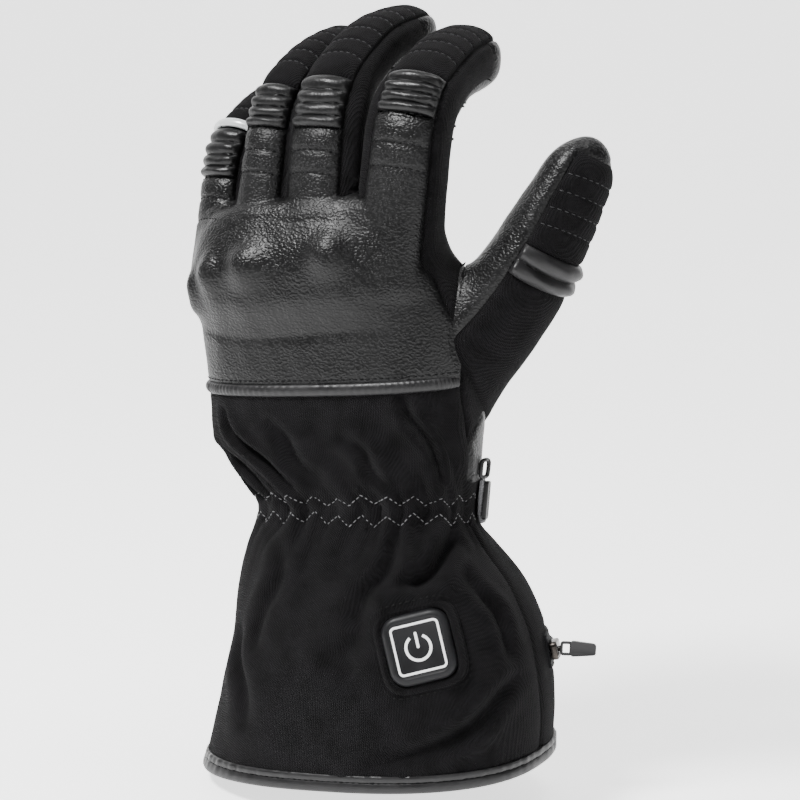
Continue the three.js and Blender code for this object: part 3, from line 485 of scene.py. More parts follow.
def scores(points):
    """How far inside each panel a point lies, in millimetres: the greatest names its panel."""
    found, _ = measured(points)
    angle, height, out = found["body"]
    y = points[:, 1]
    outs = np.stack([found[name][2] for name in HANDS], 1)
    near = outs.argmin(1)
    rows = np.arange(len(points))
    turn = np.stack([found[name][0] for name in HANDS], 1)[rows, near]
    share = np.stack([found[name][1] for name in HANDS], 1)[rows, near]
    length = np.array([RIGS[name].length for name in HANDS])[near]
    rib_foot = np.array([RIGS[name].ribs[0] for name in HANDS])[near]
    on_finger = (out - outs[rows, near]) * JOIN_SHARE
    weight = ease(on_finger / JOIN_REACH + 0.5)
    spread = np.abs(turn)
    wrap = np.minimum((share - TIP_WRAP_FROM) * length, (spread - BACK_SPREAD) * FINGER_ARC)
    front = np.maximum((spread - FRONT_SPREAD) * FINGER_ARC, wrap)
    front = np.maximum(front, (share - TIP_CAP_FROM) * length)
    tongue = (BACK_SPREAD - spread) * FINGER_ARC
    covered = np.minimum(tongue, np.minimum(share - rib_foot, TIP_CAP_FROM - share) * length)
    tongue = np.minimum(tongue, (rib_foot - share) * length)
    web = np.maximum(0.0, WEB_HEIGHT - height)
    thumb_edge = read(THUMB_SEAM, height)[:, 1]
    strip_edge = read(STRIP_SEAM, height)[:, 1]
    back = np.minimum(angle - OUTER_SEAM, thumb_edge - angle) * BODY_ARC
    back = np.minimum(back, web + WEB_BACK - y)
    palm = np.maximum(angle - strip_edge, OUTER_SEAM - angle) * BODY_ARC
    palm = np.minimum(palm, web + y - WEB_PALM)
    back = weight * tongue + (1 - weight) * back
    palm = weight * front + (1 - weight) * palm
    covered = np.minimum(covered, on_finger)
    side = -np.maximum(np.maximum(back, palm), covered)
    thumb_turn, thumb_share, thumb_out = found["thumb"]
    on_thumb = (np.minimum(out, outs.min(1)) - thumb_out) * JOIN_SHARE
    thumb_back = np.minimum(thumb_turn + BACK_SPREAD, THUMB_BACK_END - thumb_turn) * THUMB_ARC
    thumb = RIGS["thumb"]
    thumb_cap = (TIP_CAP_FROM - thumb_share) * thumb.length
    ribbed = (thumb_share - thumb.ribs[0]) * thumb.length
    hand = np.minimum(-on_thumb, height - GATHER_TOP)
    cuff = GATHER_BOTTOM - height
    score = np.full((len(points), len(PANELS)), FAR)

    def put(name, *values):
        score[:, PANELS.index(name)] = np.minimum.reduce(values)

    put("knuckle_panel", hand, back, height - PIPING_MIDDLE)
    put("hand_back", hand, back, PIPING_MIDDLE - height)
    put("palm_panel", hand, palm, -on_finger)
    for k, name in enumerate(HANDS):
        mine = np.where(near == k, 0.0, FAR)
        put(name + "_front", hand, palm, on_finger, mine - FAR * (near == k))
        for sign in (1, -1):
            label = SIDES[name, sign]
            column = PANELS.index(label)
            here = (near == k) & (turn * sign > 0)
            value = np.where(here, np.minimum(hand, side), FAR)
            score[:, column] = np.maximum(score[:, column], value)
    put("thumb_back", on_thumb, thumb_back, -ribbed, height - GATHER_TOP)
    put("thumb_front", on_thumb, -np.minimum(thumb_back, thumb_cap), height - GATHER_TOP)
    put("wrist_gather", GATHER_TOP - height, height - GATHER_BOTTOM)
    put("gauntlet_back", cuff, (90.0 - np.abs(angle)), height - GAUNTLET_FOOT)
    put("gauntlet_palm", cuff, (np.abs(angle) - 90.0), height - GAUNTLET_FOOT)
    hidden = np.minimum(hand, covered)
    hidden = np.maximum(hidden, np.minimum.reduce([on_thumb, thumb_back, ribbed, thumb_cap]))
    score[:, PANELS.index("covered")] = np.maximum(hidden, GAUNTLET_FOOT - height)
    return score


def grid_faces(columns, rows, closed):
    """Quads over a grid of points laid out row by row."""
    wide = columns if closed else columns + 1
    i, j = np.meshgrid(np.arange(columns), np.arange(rows))
    i = i.ravel()
    j = j.ravel()
    right = (i + 1) % wide
    return np.stack([j * wide + i, j * wide + right, (j + 1) * wide + right, (j + 1) * wide + i], 1)


def new_mesh(name, points, faces):
    """A mesh object from points in millimetres."""
    mesh = bpy.data.meshes.new(name)
    mesh.from_pydata((np.asarray(points) * MM).tolist(), [], [list(map(int, face)) for face in faces])
    mesh.validate()
    obj = bpy.data.objects.new(name, mesh)
    bpy.context.scene.collection.objects.link(obj)
    return obj


def apply_modifiers(obj):
    """Applies an object's modifiers with nothing else selected."""
    bpy.ops.object.select_all(action="DESELECT")
    obj.select_set(True)
    bpy.context.view_layer.objects.active = obj
    for modifier in list(obj.modifiers):
        bpy.ops.object.modifier_apply(modifier=modifier.name)


# Faces round and along the plain form, and how far it runs past the cuff's end
BODY_STEPS = (72, 90)
FINGER_STEPS = (40, 60)
SKIN_OVERRUN = 4.0
LAST_SHARE = 0.9995


def loft_mesh(point, columns, rows):
    """A closed loft as points and faces, with its two ends fanned."""
    u, v = np.meshgrid(np.arange(columns) / columns, np.arange(rows + 1) / rows)
    points = point(u.ravel() * 360.0, v.ravel())
    faces = grid_faces(columns, rows, True).tolist()
    first = list(range(columns))[::-1]
    last = [rows * columns + k for k in range(columns)]
    return points, faces + [first, last]


def hand_form():
    """The plain form of the cuff, the hand and every finger as overlapping closed lofts."""
    def body(angle, share):
        run = PALM_LENGTH + CUFF_LENGTH + SKIN_OVERRUN
        return body_point(angle, -CUFF_LENGTH - SKIN_OVERRUN + share * run)

    points = []
    faces = []
    shapes = [loft_mesh(body, *BODY_STEPS)]
    for rig in RIGS.values():
        shapes.append(loft_mesh(lambda u, v, r=rig: r.point(u, np.minimum(v, LAST_SHARE)), *FINGER_STEPS))
    for more, quads in shapes:
        start = len(points)
        points.extend(more.tolist())
        faces.extend([[start + k for k in face] for face in quads])
    return new_mesh("form", points, faces)


def base_skin(voxel):
    """The whole glove's smooth outer surface as points and quads, joined and settled."""
    form = hand_form()
    remesh = form.modifiers.new("Remesh", "REMESH")
    remesh.mode = "VOXEL"
    remesh.voxel_size = voxel * MM
    apply_modifiers(form)
    count = len(form.data.vertices)
    flat = np.empty(count * 3)
    form.data.vertices.foreach_get("co", flat)
    quads = np.array([list(face.vertices) for face in form.data.polygons])
    bpy.data.objects.remove(form)
    return settled(flat.reshape(-1, 3) / MM), quads


def vertex_normals(points, quads):
    """Outward normals at the points of a mesh of quads."""
    a, b, c, d = (points[quads[:, k]] for k in range(4))
    face = np.cross(c - a, d - b)
    normal = np.zeros_like(points)
    for k in range(4):
        for axis in range(3):
            normal[:, axis] += np.bincount(quads[:, k], face[:, axis], len(points))
    return normal / np.maximum(1e-9, np.linalg.norm(normal, axis=1, keepdims=True))


def snapped(points, quads, score):
    """Moves the points on a border between two panels onto the border. Returns points and face labels."""
    label = score[quads].mean(1).argmax(1)
    low = np.full(len(points), 99)
    high = np.full(len(points), -1)
    for k in range(4):
        np.minimum.at(low, quads[:, k], label)
        np.maximum.at(high, quads[:, k], label)
    border = np.flatnonzero((low != high) & (high >= 0))
    rows = np.arange(len(border))

    def between(place):
        values = scores(place)
        return (values[rows, low[border]] - values[rows, high[border]]) / 2

    for _ in range(2):
        here = points[border]
        value, slope = gradient(between, here)
        move = value / np.maximum(0.15, (slope ** 2).sum(1))
        shift = -slope * move[:, None]
        reach = np.linalg.norm(shift, axis=1, keepdims=True)
        shift *= np.minimum(1.0, 0.6 / np.maximum(reach, 1e-6))
        points[border] = settled(here + shift, 1)
    return points, label


def fold_depth(angle, height):
    """Depth of the deep folds at angles round the body and heights up it."""
    depth = np.zeros(np.shape(angle))
    for from_angle, from_height, to_angle, to_height, deep, reach in FOLDS:
        run = (to_angle - from_angle) * DEGREES_TO_REACH
        climb = to_height - from_height
        across = (angle - from_angle) * DEGREES_TO_REACH
        up = height - from_height
        along = np.clip((run * across + climb * up) / (run * run + climb * climb), 0.0, 1.0)
        wander = FOLD_WANDER * np.sin(along * FOLD_WAVES + from_height)
        side = (across * climb - up * run) / math.hypot(run, climb)
        end = np.hypot(across - run * along, up - climb * along)
        away = np.hypot(side - wander, np.sqrt(np.maximum(0.0, end ** 2 - side ** 2)))
        fading = np.sin(np.pi * (0.12 + 0.76 * along))
        swell = SWELL_DEPTH * bump(away - reach * SWELL_PLACE, reach * SWELL_SHARE)
        depth += FOLD_STRENGTH * deep * fading * (bump(away, reach * CREASE_SHARE) - swell)
    return depth


WAVE_COUNT = 7
WAVE_SPREAD = (0.6, 1.5)
WAVE_TOTAL = 4.0


def soft_waves(points, wave, seed):
    """Gentle unevenness of stuffed cloth, mostly between -1 and 1."""
    rng = np.random.default_rng(seed)
    total = np.zeros(len(points))
    for _ in range(WAVE_COUNT):
        direction = rng.normal(size=3)
        direction *= rng.uniform(*WAVE_SPREAD) / (wave * np.linalg.norm(direction))
        total += np.sin(points @ direction * 2 * np.pi + rng.uniform(0, 2 * np.pi))
    return total / WAVE_TOTAL


ARC_STEPS = 721


def arc_table():
    """Angles round the wrist and the share of its girth run by each, as a full turn."""
    angle = np.linspace(-180.0, 180.0, ARC_STEPS)
    place = body_point(angle, np.zeros(ARC_STEPS))
    run = np.concatenate([[0.0], np.cumsum(np.linalg.norm(np.diff(place, axis=0), axis=1))])
    return angle, run / run[-1] * 2 * np.pi


ARC_ANGLES, ARC_TURNS = arc_table()
GATHERS = 24
GATHER_LEAN = 0.0105
GATHER_DEPTH = 2.3
GATHER_MIDDLE = -1.0
FINE_REACH = 12.0
BROAD_REACH = 27.0
BROAD_SHARE = 0.75
# The gathers run round the back out to this angle, and keep this share of their depth beyond it
GATHER_FRONT = (100.0, 12.0)
GATHER_FAINT = 0.35
ZIGZAG_SINK = 0.55
SQUEEZE = 1.1
SQUEEZE_REACH = 7.0
# Zigzag rows sewn on the gathers: lowest and highest height
ZIGZAGS = ((-6.4, -2.3), (1.2, 4.5))


def arc_turn(angle):
    """Even turns round the wrist, from angles."""
    return np.interp((np.asarray(angle) + 180.0) % 360.0 - 180.0, ARC_ANGLES, ARC_TURNS)


def zigzag_height(turn, row):
    """Height of a zigzag row at an even turn round the wrist."""
    low, high = ZIGZAGS[row]
    phase = (turn * GATHERS / (2 * np.pi) + 0.25) % 1.0
    drift = 0.55 * np.sin(turn * 5.0 + row * 2.0) + 0.35 * np.sin(turn * 11.0 + 1.0)
    return low + (high - low) * (1.0 - np.abs(2.0 * phase - 1.0)) + drift


def pleat_lift(angle, height):
    """The elastic's gathers: fine folds at its stitching that run out as broader ones."""
    turn = arc_turn(angle)
    away = height - GATHER_MIDDLE
    wander = 0.05 * np.sin(3 * turn + 1.0) + 0.03 * np.sin(7 * turn + height * 0.15)
    phase = (turn + GATHER_LEAN * np.abs(away) + wander) * GATHERS / 2
    fine = np.abs(np.sin(phase)) ** 0.75 - 0.62
    broad = np.abs(np.sin(phase / 2 + 0.6)) ** 0.8 - 0.6
    strength = 1.0 + 0.35 * np.sin(5 * turn + 0.7)
    folds = fine * bump(away, FINE_REACH) + BROAD_SHARE * broad * bump(away, BROAD_REACH)
    lift = GATHER_DEPTH * strength * folds
    edge, fade = GATHER_FRONT
    front = ease((edge - np.abs(angle)) / fade)
    for row in range(len(ZIGZAGS)):
        lift -= ZIGZAG_SINK * front * bump(height - zigzag_height(turn, row), 0.9)
    return lift * (GATHER_FAINT + (1.0 - GATHER_FAINT) * front)


def knuckle_lift(angle, height):
    """The padded knuckle guard, its creased foot and its moulded bumps."""
    bumps = np.zeros(np.shape(angle))
    for knuckle_angle, knuckle_height in KNUCKLES:
        away = np.hypot((angle - knuckle_angle) * DEGREES_TO_REACH * 1.15, height - knuckle_height)
        bumps += KNUCKLE_HEIGHT * np.exp(-np.abs(away / KNUCKLE_REACH) ** KNUCKLE_ROUNDNESS)
    foot = GUARD_FOOT - GUARD_SLOPE * (angle + 20.0) + GUARD_WAVE * np.sin(np.radians(angle) * 4)
    (low, low_fade), (high, high_fade) = GUARD_SIDES
    across = ease((angle - low) / low_fade) * ease((high - angle) / high_fade)
    top, top_fade = GUARD_TOP
    rise = ease((height - foot) / GUARD_RISE) * ease((top - height) / top_fade)
    depth, reach = GUARD_CREASE
    crease = depth * bump(height - foot + 0.5, reach)
    return np.minimum(bumps, KNUCKLE_HEIGHT * 1.1) + across * (GUARD_HEIGHT * rise - crease)


def wrist_squeeze(height):
    """How far the elastic pulls the cloth in."""
    return -SQUEEZE * bump(height - GATHER_MIDDLE, SQUEEZE_REACH)


def crow_feet(angle, height):
    """Fine creases in the leather above the knuckles."""
    total = np.zeros(np.shape(angle))
    for place, middle, lean in CROW_FEET:
        along = (angle - place) * DEGREES_TO_REACH
        line = height - middle - lean * along - 0.8 * np.sin(along * 0.5)
        total -= bump(line, 0.9) * bump(along, 9.0)
        total += 0.6 * bump(line - 1.9, 1.2) * bump(along, 8.0)
    return total


def tongue_lift(found):
    """Padding between the rows of stitches across each leather tongue."""
    lift = 0.0
    for name in HANDS:
        angle, share, out = found[name]
        rig = RIGS[name]
        near = ease(1.4 - np.abs(out) / 3.0) * ease((BACK_SPREAD - np.abs(angle)) / 10.0)
        down = (rig.ribs[0] - share) * rig.length + ROW_BEND * (1.0 - (angle / BACK_SPREAD) ** 2)
        padded = ease(down / 1.5) * ease((TONGUE_ROWS[-1] + 4.0 - down) / 5.0)
        value = TONGUE_PUFF * padded
        for row in TONGUE_ROWS:
            value = value - TONGUE_VALLEY * bump(down - row, 0.95)
        lift = lift + near * value
    return lift


def fork_swell(found, seam):
    """The cloth that stands up between the index and the middle finger."""
    _, index_share, index_out = found["index"]
    _, middle_share, middle_out = found["middle"]
    between = np.minimum(np.abs(index_out), np.abs(middle_out)) < 3.0
    facing = np.minimum(index_share, middle_share)
    swell = FORK_SWELL * ease(facing / 0.12) * ease((0.62 - facing) / 0.2)
    return between * swell * (1.0 - bump(seam, 4.0))


def zip_bed(angle, height):
    """Where the zip's tape holds the cloth flat, from 0 to 1."""
    low, high, half_height = ZIP_BED
    round_fade, up_fade = ZIP_BED_FADE
    across = ease((angle - low) / round_fade) * ease((high - angle) / round_fade)
    return across * ease((half_height - np.abs(height - ZIP_HEIGHT)) / up_fade)


def edge_lift(away, settings):
    """Lift beside a seam: a valley on it and a puff beyond it."""
    puff = settings.seam_puff * (1.0 - bump(away, SEAM_PUFF_REACH))
    return puff - settings.seam_depth * bump(away, SEAM_VALLEY_REACH)


def relief(points, score, settings):
    """How far each point of the skin stands out of the smooth form, and how far it lies from a seam."""
    found, _ = measured(points)
    angle, height, out = found["body"]
    ordered = np.sort(score, 1)
    seam = (ordered[:, -1] - ordered[:, -2]) / 2
    label = score.argmax(1)
    second = np.argsort(score, 1)[:, -2]
    # The cloth runs on through the gathers with no seam
    gather = PANELS.index("wrist_gather")
    plain = (label == gather) | ((second == gather) & (label != PANELS.index("covered")))
    seam = np.where(plain, np.maximum(seam, GATHER_NO_SEAM), seam)
    body = ease(1.2 - np.abs(out) / 3.0)
    lift = edge_lift(seam, settings)
    panel = label == PANELS.index("knuckle_panel")
    inside = 1.0 - bump(seam, 2.2)
    lift += panel * inside * (body * knuckle_lift(angle, height) + tongue_lift(found))
    lift += (label == PANELS.index("fork_index_middle")) * fork_swell(found, seam)
    lift -= body * fold_depth(angle, height)
    lift += body * (pleat_lift(angle, height) + wrist_squeeze(height))
    leather = np.isin(label, [PANELS.index(name) for name in LEATHER])
    for wave, seed, on_leather, on_cloth in WAVES:
        lift += np.where(leather, on_leather, on_cloth) * soft_waves(points, wave, seed)
    lift += panel * CROW_FEET_DEPTH * crow_feet(angle, height)
    lift += body * zip_bed(angle, height) * (ZIP_REST - lift)
    return lift, seam


def subset(points, quads, keep, values):
    """The faces that are kept, with only the points that they use."""
    faces = quads[keep]
    used, inverse = np.unique(faces, return_inverse=True)
    return points[used], inverse.reshape(faces.shape), values[used]


def finish_piece(obj, look, *nodes, body=BODY, smooth=CLOTH_SMOOTH):
    """Gives a piece its material, shading and body, and lets it stand for its solids."""
    obj.data.materials.clear()
    obj.data.materials.append(material(look))
    bpy.ops.object.select_all(action="DESELECT")
    obj.select_set(True)
    bpy.context.view_layer.objects.active = obj
    if smooth:
        bpy.ops.object.shade_smooth_by_angle(angle=math.radians(smooth))
    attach(obj, body)
    if nodes:
        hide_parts(*nodes)


def note_seam(obj, away=NO_SEAM):
    """Stores how far each point lies from a seam, for the painted shade along seams in the materials."""
    layer = obj.data.attributes.new("seam", "FLOAT", "POINT")
    layer.data.foreach_set("value", np.full(len(obj.data.vertices), away, np.float32))


def face_outward(obj):
    """Turns every face of a closed mesh outward."""
    bm = bmesh.new()
    bm.from_mesh(obj.data)
    bmesh.ops.recalc_face_normals(bm, faces=bm.faces)
    bm.to_mesh(obj.data)
    bm.free()


def thickened(obj, thickness):
    """Gives a sheet its thickness, inward."""
    solid = obj.modifiers.new("Solid", "SOLIDIFY")
    solid.thickness = thickness * MM
    solid.offset = -1.0
    apply_modifiers(obj)


def slab_mesh(name, top, floor, columns, rows):
    """A closed slab from a top and a floor sheet of points laid out row by row."""
    faces = grid_faces(columns, rows, False)
    wide = columns + 1
    under = wide * (rows + 1)
    last = rows * wide
    across = np.arange(columns)
    up = np.arange(rows) * wide
    edges = ((across, 1), (last + across + 1, -1), (up + wide, -wide), (up + columns, wide))
    whole = faces.tolist() + (faces[:, ::-1] + under).tolist()
    for first, step in edges:
        whole += np.stack([first, first + under, first + step + under, first + step], 1).tolist()
    return new_mesh(name, np.concatenate([top, floor]), whole)


def grid(columns, rows):
    """Shares across and up a sheet, laid out row by row."""
    u, v = np.meshgrid(np.linspace(0, 1, columns + 1), np.linspace(0, 1, rows + 1))
    return u.ravel(), v.ravel()


# Outer surfaces of the sewn panels
SEWN = []
SEARCH_REACH = 6.0


def remember(obj):
    """Keeps a piece's outer surface, for what is sewn on it."""
    corners = [vertex.co / MM for vertex in obj.data.vertices]
    SEWN.append(BVHTree.FromPolygons(corners, [list(face.vertices) for face in obj.data.polygons]))


def on_surface(points, outward):
    """The nearest place on the sewn pieces to each point, with the surface's outward normal."""
    places = []
    normals = []
    for point, out in zip(points, outward):
        best = None
        for tree in SEWN:
            hit = tree.ray_cast(Vector(point + out * SEARCH_REACH), Vector(-out), 2 * SEARCH_REACH)
            if hit[0] is not None and (best is None or hit[3] < best[3]):
                best = hit
        if best is None:
            places.append(point)
            normals.append(out)
        else:
            normal = np.array(best[1])
            places.append(np.array(best[0]))
            normals.append(normal if normal @ out > 0 else -normal)
    return np.array(places), np.array(normals)


def build_panels(settings):
    """Cuts the skin into its panels and thickens each."""
    voxel = settings.voxel * 1.0
    points, quads = base_skin(voxel)
    points, label = snapped(points, quads, scores(points))
    lift, seam = relief(points, scores(points), settings)
    points = points + vertex_normals(points, quads) * lift[:, None]
    for name in PANELS[:-1]:
        keep = label == PANELS.index(name)
        place, faces, away = subset(points, quads, keep, seam)
        panel = new_mesh(name + "_cloth", place, faces)
        note_seam(panel, away)
        remember(panel)
        thickened(panel, settings.cloth_thickness)
        finish_piece(panel, "leather" if name in LEATHER else "softshell", name)


def add_node(tree, kind, inputs=None, **settings):
    """Adds a shader node. Inputs are numbers, colours or the sockets that feed them."""
    node = tree.nodes.new(kind)
    for key, value in settings.items():
        setattr(node, key, value)
    for key, value in (inputs or {}).items():
        if isinstance(value, bpy.types.NodeSocket):
            tree.links.new(value, node.inputs[key])
        else:
            node.inputs[key].default_value = value
    return node


def calculate(tree, operation, a, b=0.0, c=0.0):
    """A math node's result."""
    node = add_node(tree, "ShaderNodeMath", {0: a, 1: b, 2: c}, operation=operation)
    return node.outputs[0]


def stretch(tree, value, low, high, to_low=0.0, to_high=1.0):
    """Maps a value from one range to another, smoothly and held at the ends."""
    node = add_node(
        tree, "ShaderNodeMapRange",
        {"Value": value, "From Min": low, "From Max": high, "To Min": to_low, "To Max": to_high},
        interpolation_type="SMOOTHSTEP",
    )
    return node.outputs[0]


def place_of(tree):
    """The place on the piece, in metres."""
    return add_node(tree, "ShaderNodeTexCoord").outputs["Object"]


def effect(name, outputs):
    """A new node group with the named value outputs, and its output node."""
    group = bpy.data.node_groups.new(name, "ShaderNodeTree")
    for output in outputs:
        group.interface.new_socket(name=output, in_out="OUTPUT", socket_type="NodeSocketFloat")
    return group, group.nodes.new("NodeGroupOutput")


GRAIN_WANDER = 0.0016


def grain_effect():
    """Pebbled leather: the height of its grain, and how far a place is up a pebble, which paints shade into
    the hollows between pebbles.
    """
    group, out = effect("leather_grain", ("Height", "Pebble", "Patch"))
    place = place_of(group)
    warp = add_node(group, "ShaderNodeTexNoise", {"Vector": place, "Scale": 260.0, "Detail": 2.0})
    moved = add_node(
        group, "ShaderNodeVectorMath", {0: warp.outputs["Color"], 1: (GRAIN_WANDER,) * 3, 2: place},
        operation="MULTIPLY_ADD",
    ).outputs[0]
    lying = add_node(group, "ShaderNodeMapping", {"Vector": moved, "Rotation": (0.0, 0.25, 0.0),
                                                  "Scale": (0.7, 0.9, 1.0)})
    cells = add_node(group, "ShaderNodeTexVoronoi", {"Vector": lying.outputs[0], "Scale": 1250.0},
                     feature="SMOOTH_F1")
    pebble = stretch(group, cells.outputs["Distance"], 0.15, 0.62, 1.0, 0.0)
    fine = add_node(group, "ShaderNodeTexNoise", {"Vector": place, "Scale": 1500.0, "Detail": 2.0})
    folds = add_node(group, "ShaderNodeTexNoise",
                     {"Vector": place, "Scale": 70.0, "Detail": 3.0, "Distortion": 0.8})
    crease = calculate(group, "ABSOLUTE", calculate(group, "SUBTRACT", folds.outputs["Fac"], 0.5))
    crease = stretch(group, crease, 0.0, 0.03)
    height = calculate(group, "MULTIPLY_ADD", fine.outputs["Fac"], 0.15, pebble)
    height = calculate(group, "MULTIPLY_ADD", crease, 0.1, height)
    patch = add_node(group, "ShaderNodeTexNoise", {"Vector": place, "Scale": 45.0, "Detail": 4.0})
    group.links.new(height, out.inputs["Height"])
    group.links.new(pebble, out.inputs["Pebble"])
    group.links.new(patch.outputs["Fac"], out.inputs["Patch"])
    return group


def knit_effect():
    """Fine stretch knit: its height and its uneven nap."""
    group, out = effect("softshell_knit", ("Height", "Nap"))
    place = place_of(group)
    heights = []
    for turn in ((0.0, 0.0, 0.7), (0.0, 0.9, -0.7)):
        turned = add_node(group, "ShaderNodeMapping", {"Vector": place, "Rotation": turn})
        wave = add_node(group, "ShaderNodeTexWave",
                        {"Vector": turned.outputs[0], "Scale": 520.0, "Distortion": 1.4, "Detail": 1.0})
        heights.append(wave.outputs["Fac"])
    weave = calculate(group, "MAXIMUM", heights[0], heights[1])
    fuzz = add_node(group, "ShaderNodeTexNoise", {"Vector": place, "Scale": 3200.0, "Detail": 2.0})
    height = calculate(group, "MULTIPLY_ADD", fuzz.outputs["Fac"], 0.6, weave)
    nap = add_node(group, "ShaderNodeTexNoise", {"Vector": place, "Scale": 120.0, "Detail": 5.0})
    group.links.new(height, out.inputs["Height"])
    group.links.new(nap.outputs["Fac"], out.inputs["Nap"])
    return group


def speckle_effect():
    """Fine moulded or coated surface: its height and slow unevenness."""
    group, out = effect("fine_surface", ("Height", "Wear"))
    place = place_of(group)
    fine = add_node(group, "ShaderNodeTexNoise", {"Vector": place, "Scale": 1700.0, "Detail": 3.0})
    slow = add_node(group, "ShaderNodeTexNoise", {"Vector": place, "Scale": 150.0, "Detail": 3.0})
    group.links.new(fine.outputs["Fac"], out.inputs["Height"])
    group.links.new(slow.outputs["Fac"], out.inputs["Wear"])
    return group


def ribbed_effect():
    """Ribbed tape or twisted thread: fine ridges over the piece."""
    group, out = effect("ribbed_tape", ("Height", "Wear"))
    place = place_of(group)
    wave = add_node(group, "ShaderNodeTexWave", {"Vector": place, "Scale": 330.0, "Distortion": 0.6},
                    bands_direction="Z")
    slow = add_node(group, "ShaderNodeTexNoise", {"Vector": place, "Scale": 400.0, "Detail": 2.0})
    group.links.new(wave.outputs["Fac"], out.inputs["Height"])
    group.links.new(slow.outputs["Fac"], out.inputs["Wear"])
    return group


# Look of each finish: effect, tone of its darkest places, low and high roughness, bump strength and depth
# in metres, sheen, metalness and shine
LOOKS = {
    "leather": ("grain", 0.3, 0.36, 0.5, 1.0, 0.00013, 0.0, 0.0, 0.24),
    "soft_leather": ("grain", 0.4, 0.36, 0.48, 0.5, 0.00008, 0.0, 0.0, 0.28),
    "softshell": ("knit", 0.3, 0.85, 0.96, 1.0, 0.0004, 0.02, 0.0, 0.06),
    "trim": ("speckle", 0.6, 0.36, 0.5, 0.5, 0.0001, 0.0, 0.0, 0.3),
    "elastic": ("ribbed", 0.75, 0.6, 0.8, 0.6, 0.0003, 0.1, 0.0, 0.2),
    "rubber": ("speckle", 0.6, 0.45, 0.58, 0.2, 0.00005, 0.0, 0.0, 0.22),
    "print": ("speckle", 0.9, 0.45, 0.6, 0.1, 0.00004, 0.0, 0.0, 0.4),
    # Light grey of the little finger's piping: a painted highlight on its rib
    "reflective": ("speckle", 0.7, 0.25, 0.4, 0.3, 0.0001, 0.0, 0.2, 0.5),
    "zip": ("ribbed", 0.4, 0.65, 0.8, 0.5, 0.0002, 0.0, 0.0, 0.15),
    "metal": ("speckle", 0.45, 0.25, 0.42, 0.15, 0.00004, 0.0, 1.0, 0.5),
    "puller": ("speckle", 0.5, 0.4, 0.55, 0.3, 0.00008, 0.0, 0.0, 0.3),
    "dark_thread": ("ribbed", 0.4, 0.5, 0.65, 0.4, 0.0001, 0.0, 0.0, 0.1),
    "quilt_thread": ("ribbed", 0.4, 0.5, 0.65, 0.4, 0.0001, 0.0, 0.0, 0.2),
    "light_thread": ("ribbed", 0.5, 0.5, 0.65, 0.4, 0.0001, 0.0, 0.0, 0.3),
}
# Maker of the node group of each effect
EFFECTS = {"grain": grain_effect, "knit": knit_effect, "speckle": speckle_effect, "ribbed": ribbed_effect}
SHEEN_ROUGHNESS = 0.45
# Painted shade in a seam's valley: the colour darkens out to this far from the seam, in millimetres, and
# keeps this share of its tone on the seam
SEAM_SHADE_REACH = 1.4
SEAM_SHADE_TONE = 0.35
# Effects and materials that are made already, by name
MADE = {}


def tone_of(tree, group):
    """How light a place's colour is, from 0 to 1, with painted shade in seam valleys and between the grain's
    pebbles, and the slow unevenness of its finish.
    """
    vary = group.outputs[len(group.outputs) - 1]
    tone = vary
    # Painted shade: the leather's colour darkens in the hollows between its pebbles
    if "Pebble" in group.outputs:
        tone = calculate(tree, "MULTIPLY", group.outputs["Pebble"], vary)
    # Painted shade: the colour darkens in each seam's valley
    seam = add_node(tree, "ShaderNodeAttribute", attribute_name="seam")
    open_cloth = stretch(tree, seam.outputs["Fac"], 0.0, SEAM_SHADE_REACH)
    shade = calculate(tree, "MAXIMUM", open_cloth, SEAM_SHADE_TONE)
    return calculate(tree, "MULTIPLY", stretch(tree, tone, 0.2, 0.7), shade), vary


def material(name):
    """The material of a look, made once."""
    if name in MADE:
        return MADE[name]
    kind, dark_tone, smooth, rough, strength, depth, sheen, metalness, shine = LOOKS[name]
    colours = bpy.context.scene.glove_colours
    light = tuple(getattr(colours, "leather" if name == "soft_leather" else name))
    dark = tuple(channel * dark_tone for channel in light)
    if kind not in MADE:
        MADE[kind] = EFFECTS[kind]()
    made = bpy.data.materials.new(name)
    made.use_nodes = True
    tree = made.node_tree
    tree.nodes.clear()
    group = tree.nodes.new("ShaderNodeGroup")
    group.node_tree = MADE[kind]
    tone, vary = tone_of(tree, group)
    # The mix node has sockets for every kind of data: 0 is its factor, 6 and 7 are its two colours
    mixed = add_node(tree, "ShaderNodeMix", {0: tone, 6: (*dark, 1.0), 7: (*light, 1.0)}, data_type="RGBA")
    raised = add_node(
        tree, "ShaderNodeBump",
        {"Strength": strength, "Distance": depth, "Height": group.outputs["Height"]},
    )
    surface = add_node(
        tree, "ShaderNodeBsdfPrincipled",
        {
            "Base Color": [socket for socket in mixed.outputs if socket.type == "RGBA"][0],
            "Roughness": stretch(tree, vary, 0.3, 0.7, smooth, rough),
            "Metallic": metalness, "Sheen Weight": sheen, "Sheen Roughness": SHEEN_ROUGHNESS,
            "Specular IOR Level": shine, "Normal": raised.outputs[0],
        },
    )
    out = tree.nodes.new("ShaderNodeOutputMaterial")
    tree.links.new(surface.outputs[0], out.inputs[0])
    MADE[name] = made
    return made


# Shares of each finger where a row of quilting crosses its softshell back
QUILTING = {
    "index": (0.64, 0.7, 0.76, 0.82, 0.88),
    "middle": (0.56, 0.62, 0.68, 0.74, 0.8, 0.86),
    "ring": (0.62, 0.68, 0.74, 0.8, 0.86),
    "little": (0.66, 0.74, 0.82, 0.9),
    "thumb": (0.74, 0.79, 0.84, 0.89),
}
ROW_BOW = 0.012
ROW_VALLEY = 0.55
ROW_WIDTH = 0.8
# How far in from a side seam the ribs reach their full height, and how sharply their ridges are curved
RIB_FADE = 5.5
THUMB_TUBE_FADE = 2.6
RIB_SHARPNESS = 0.75
RIB_BOW = 0.05
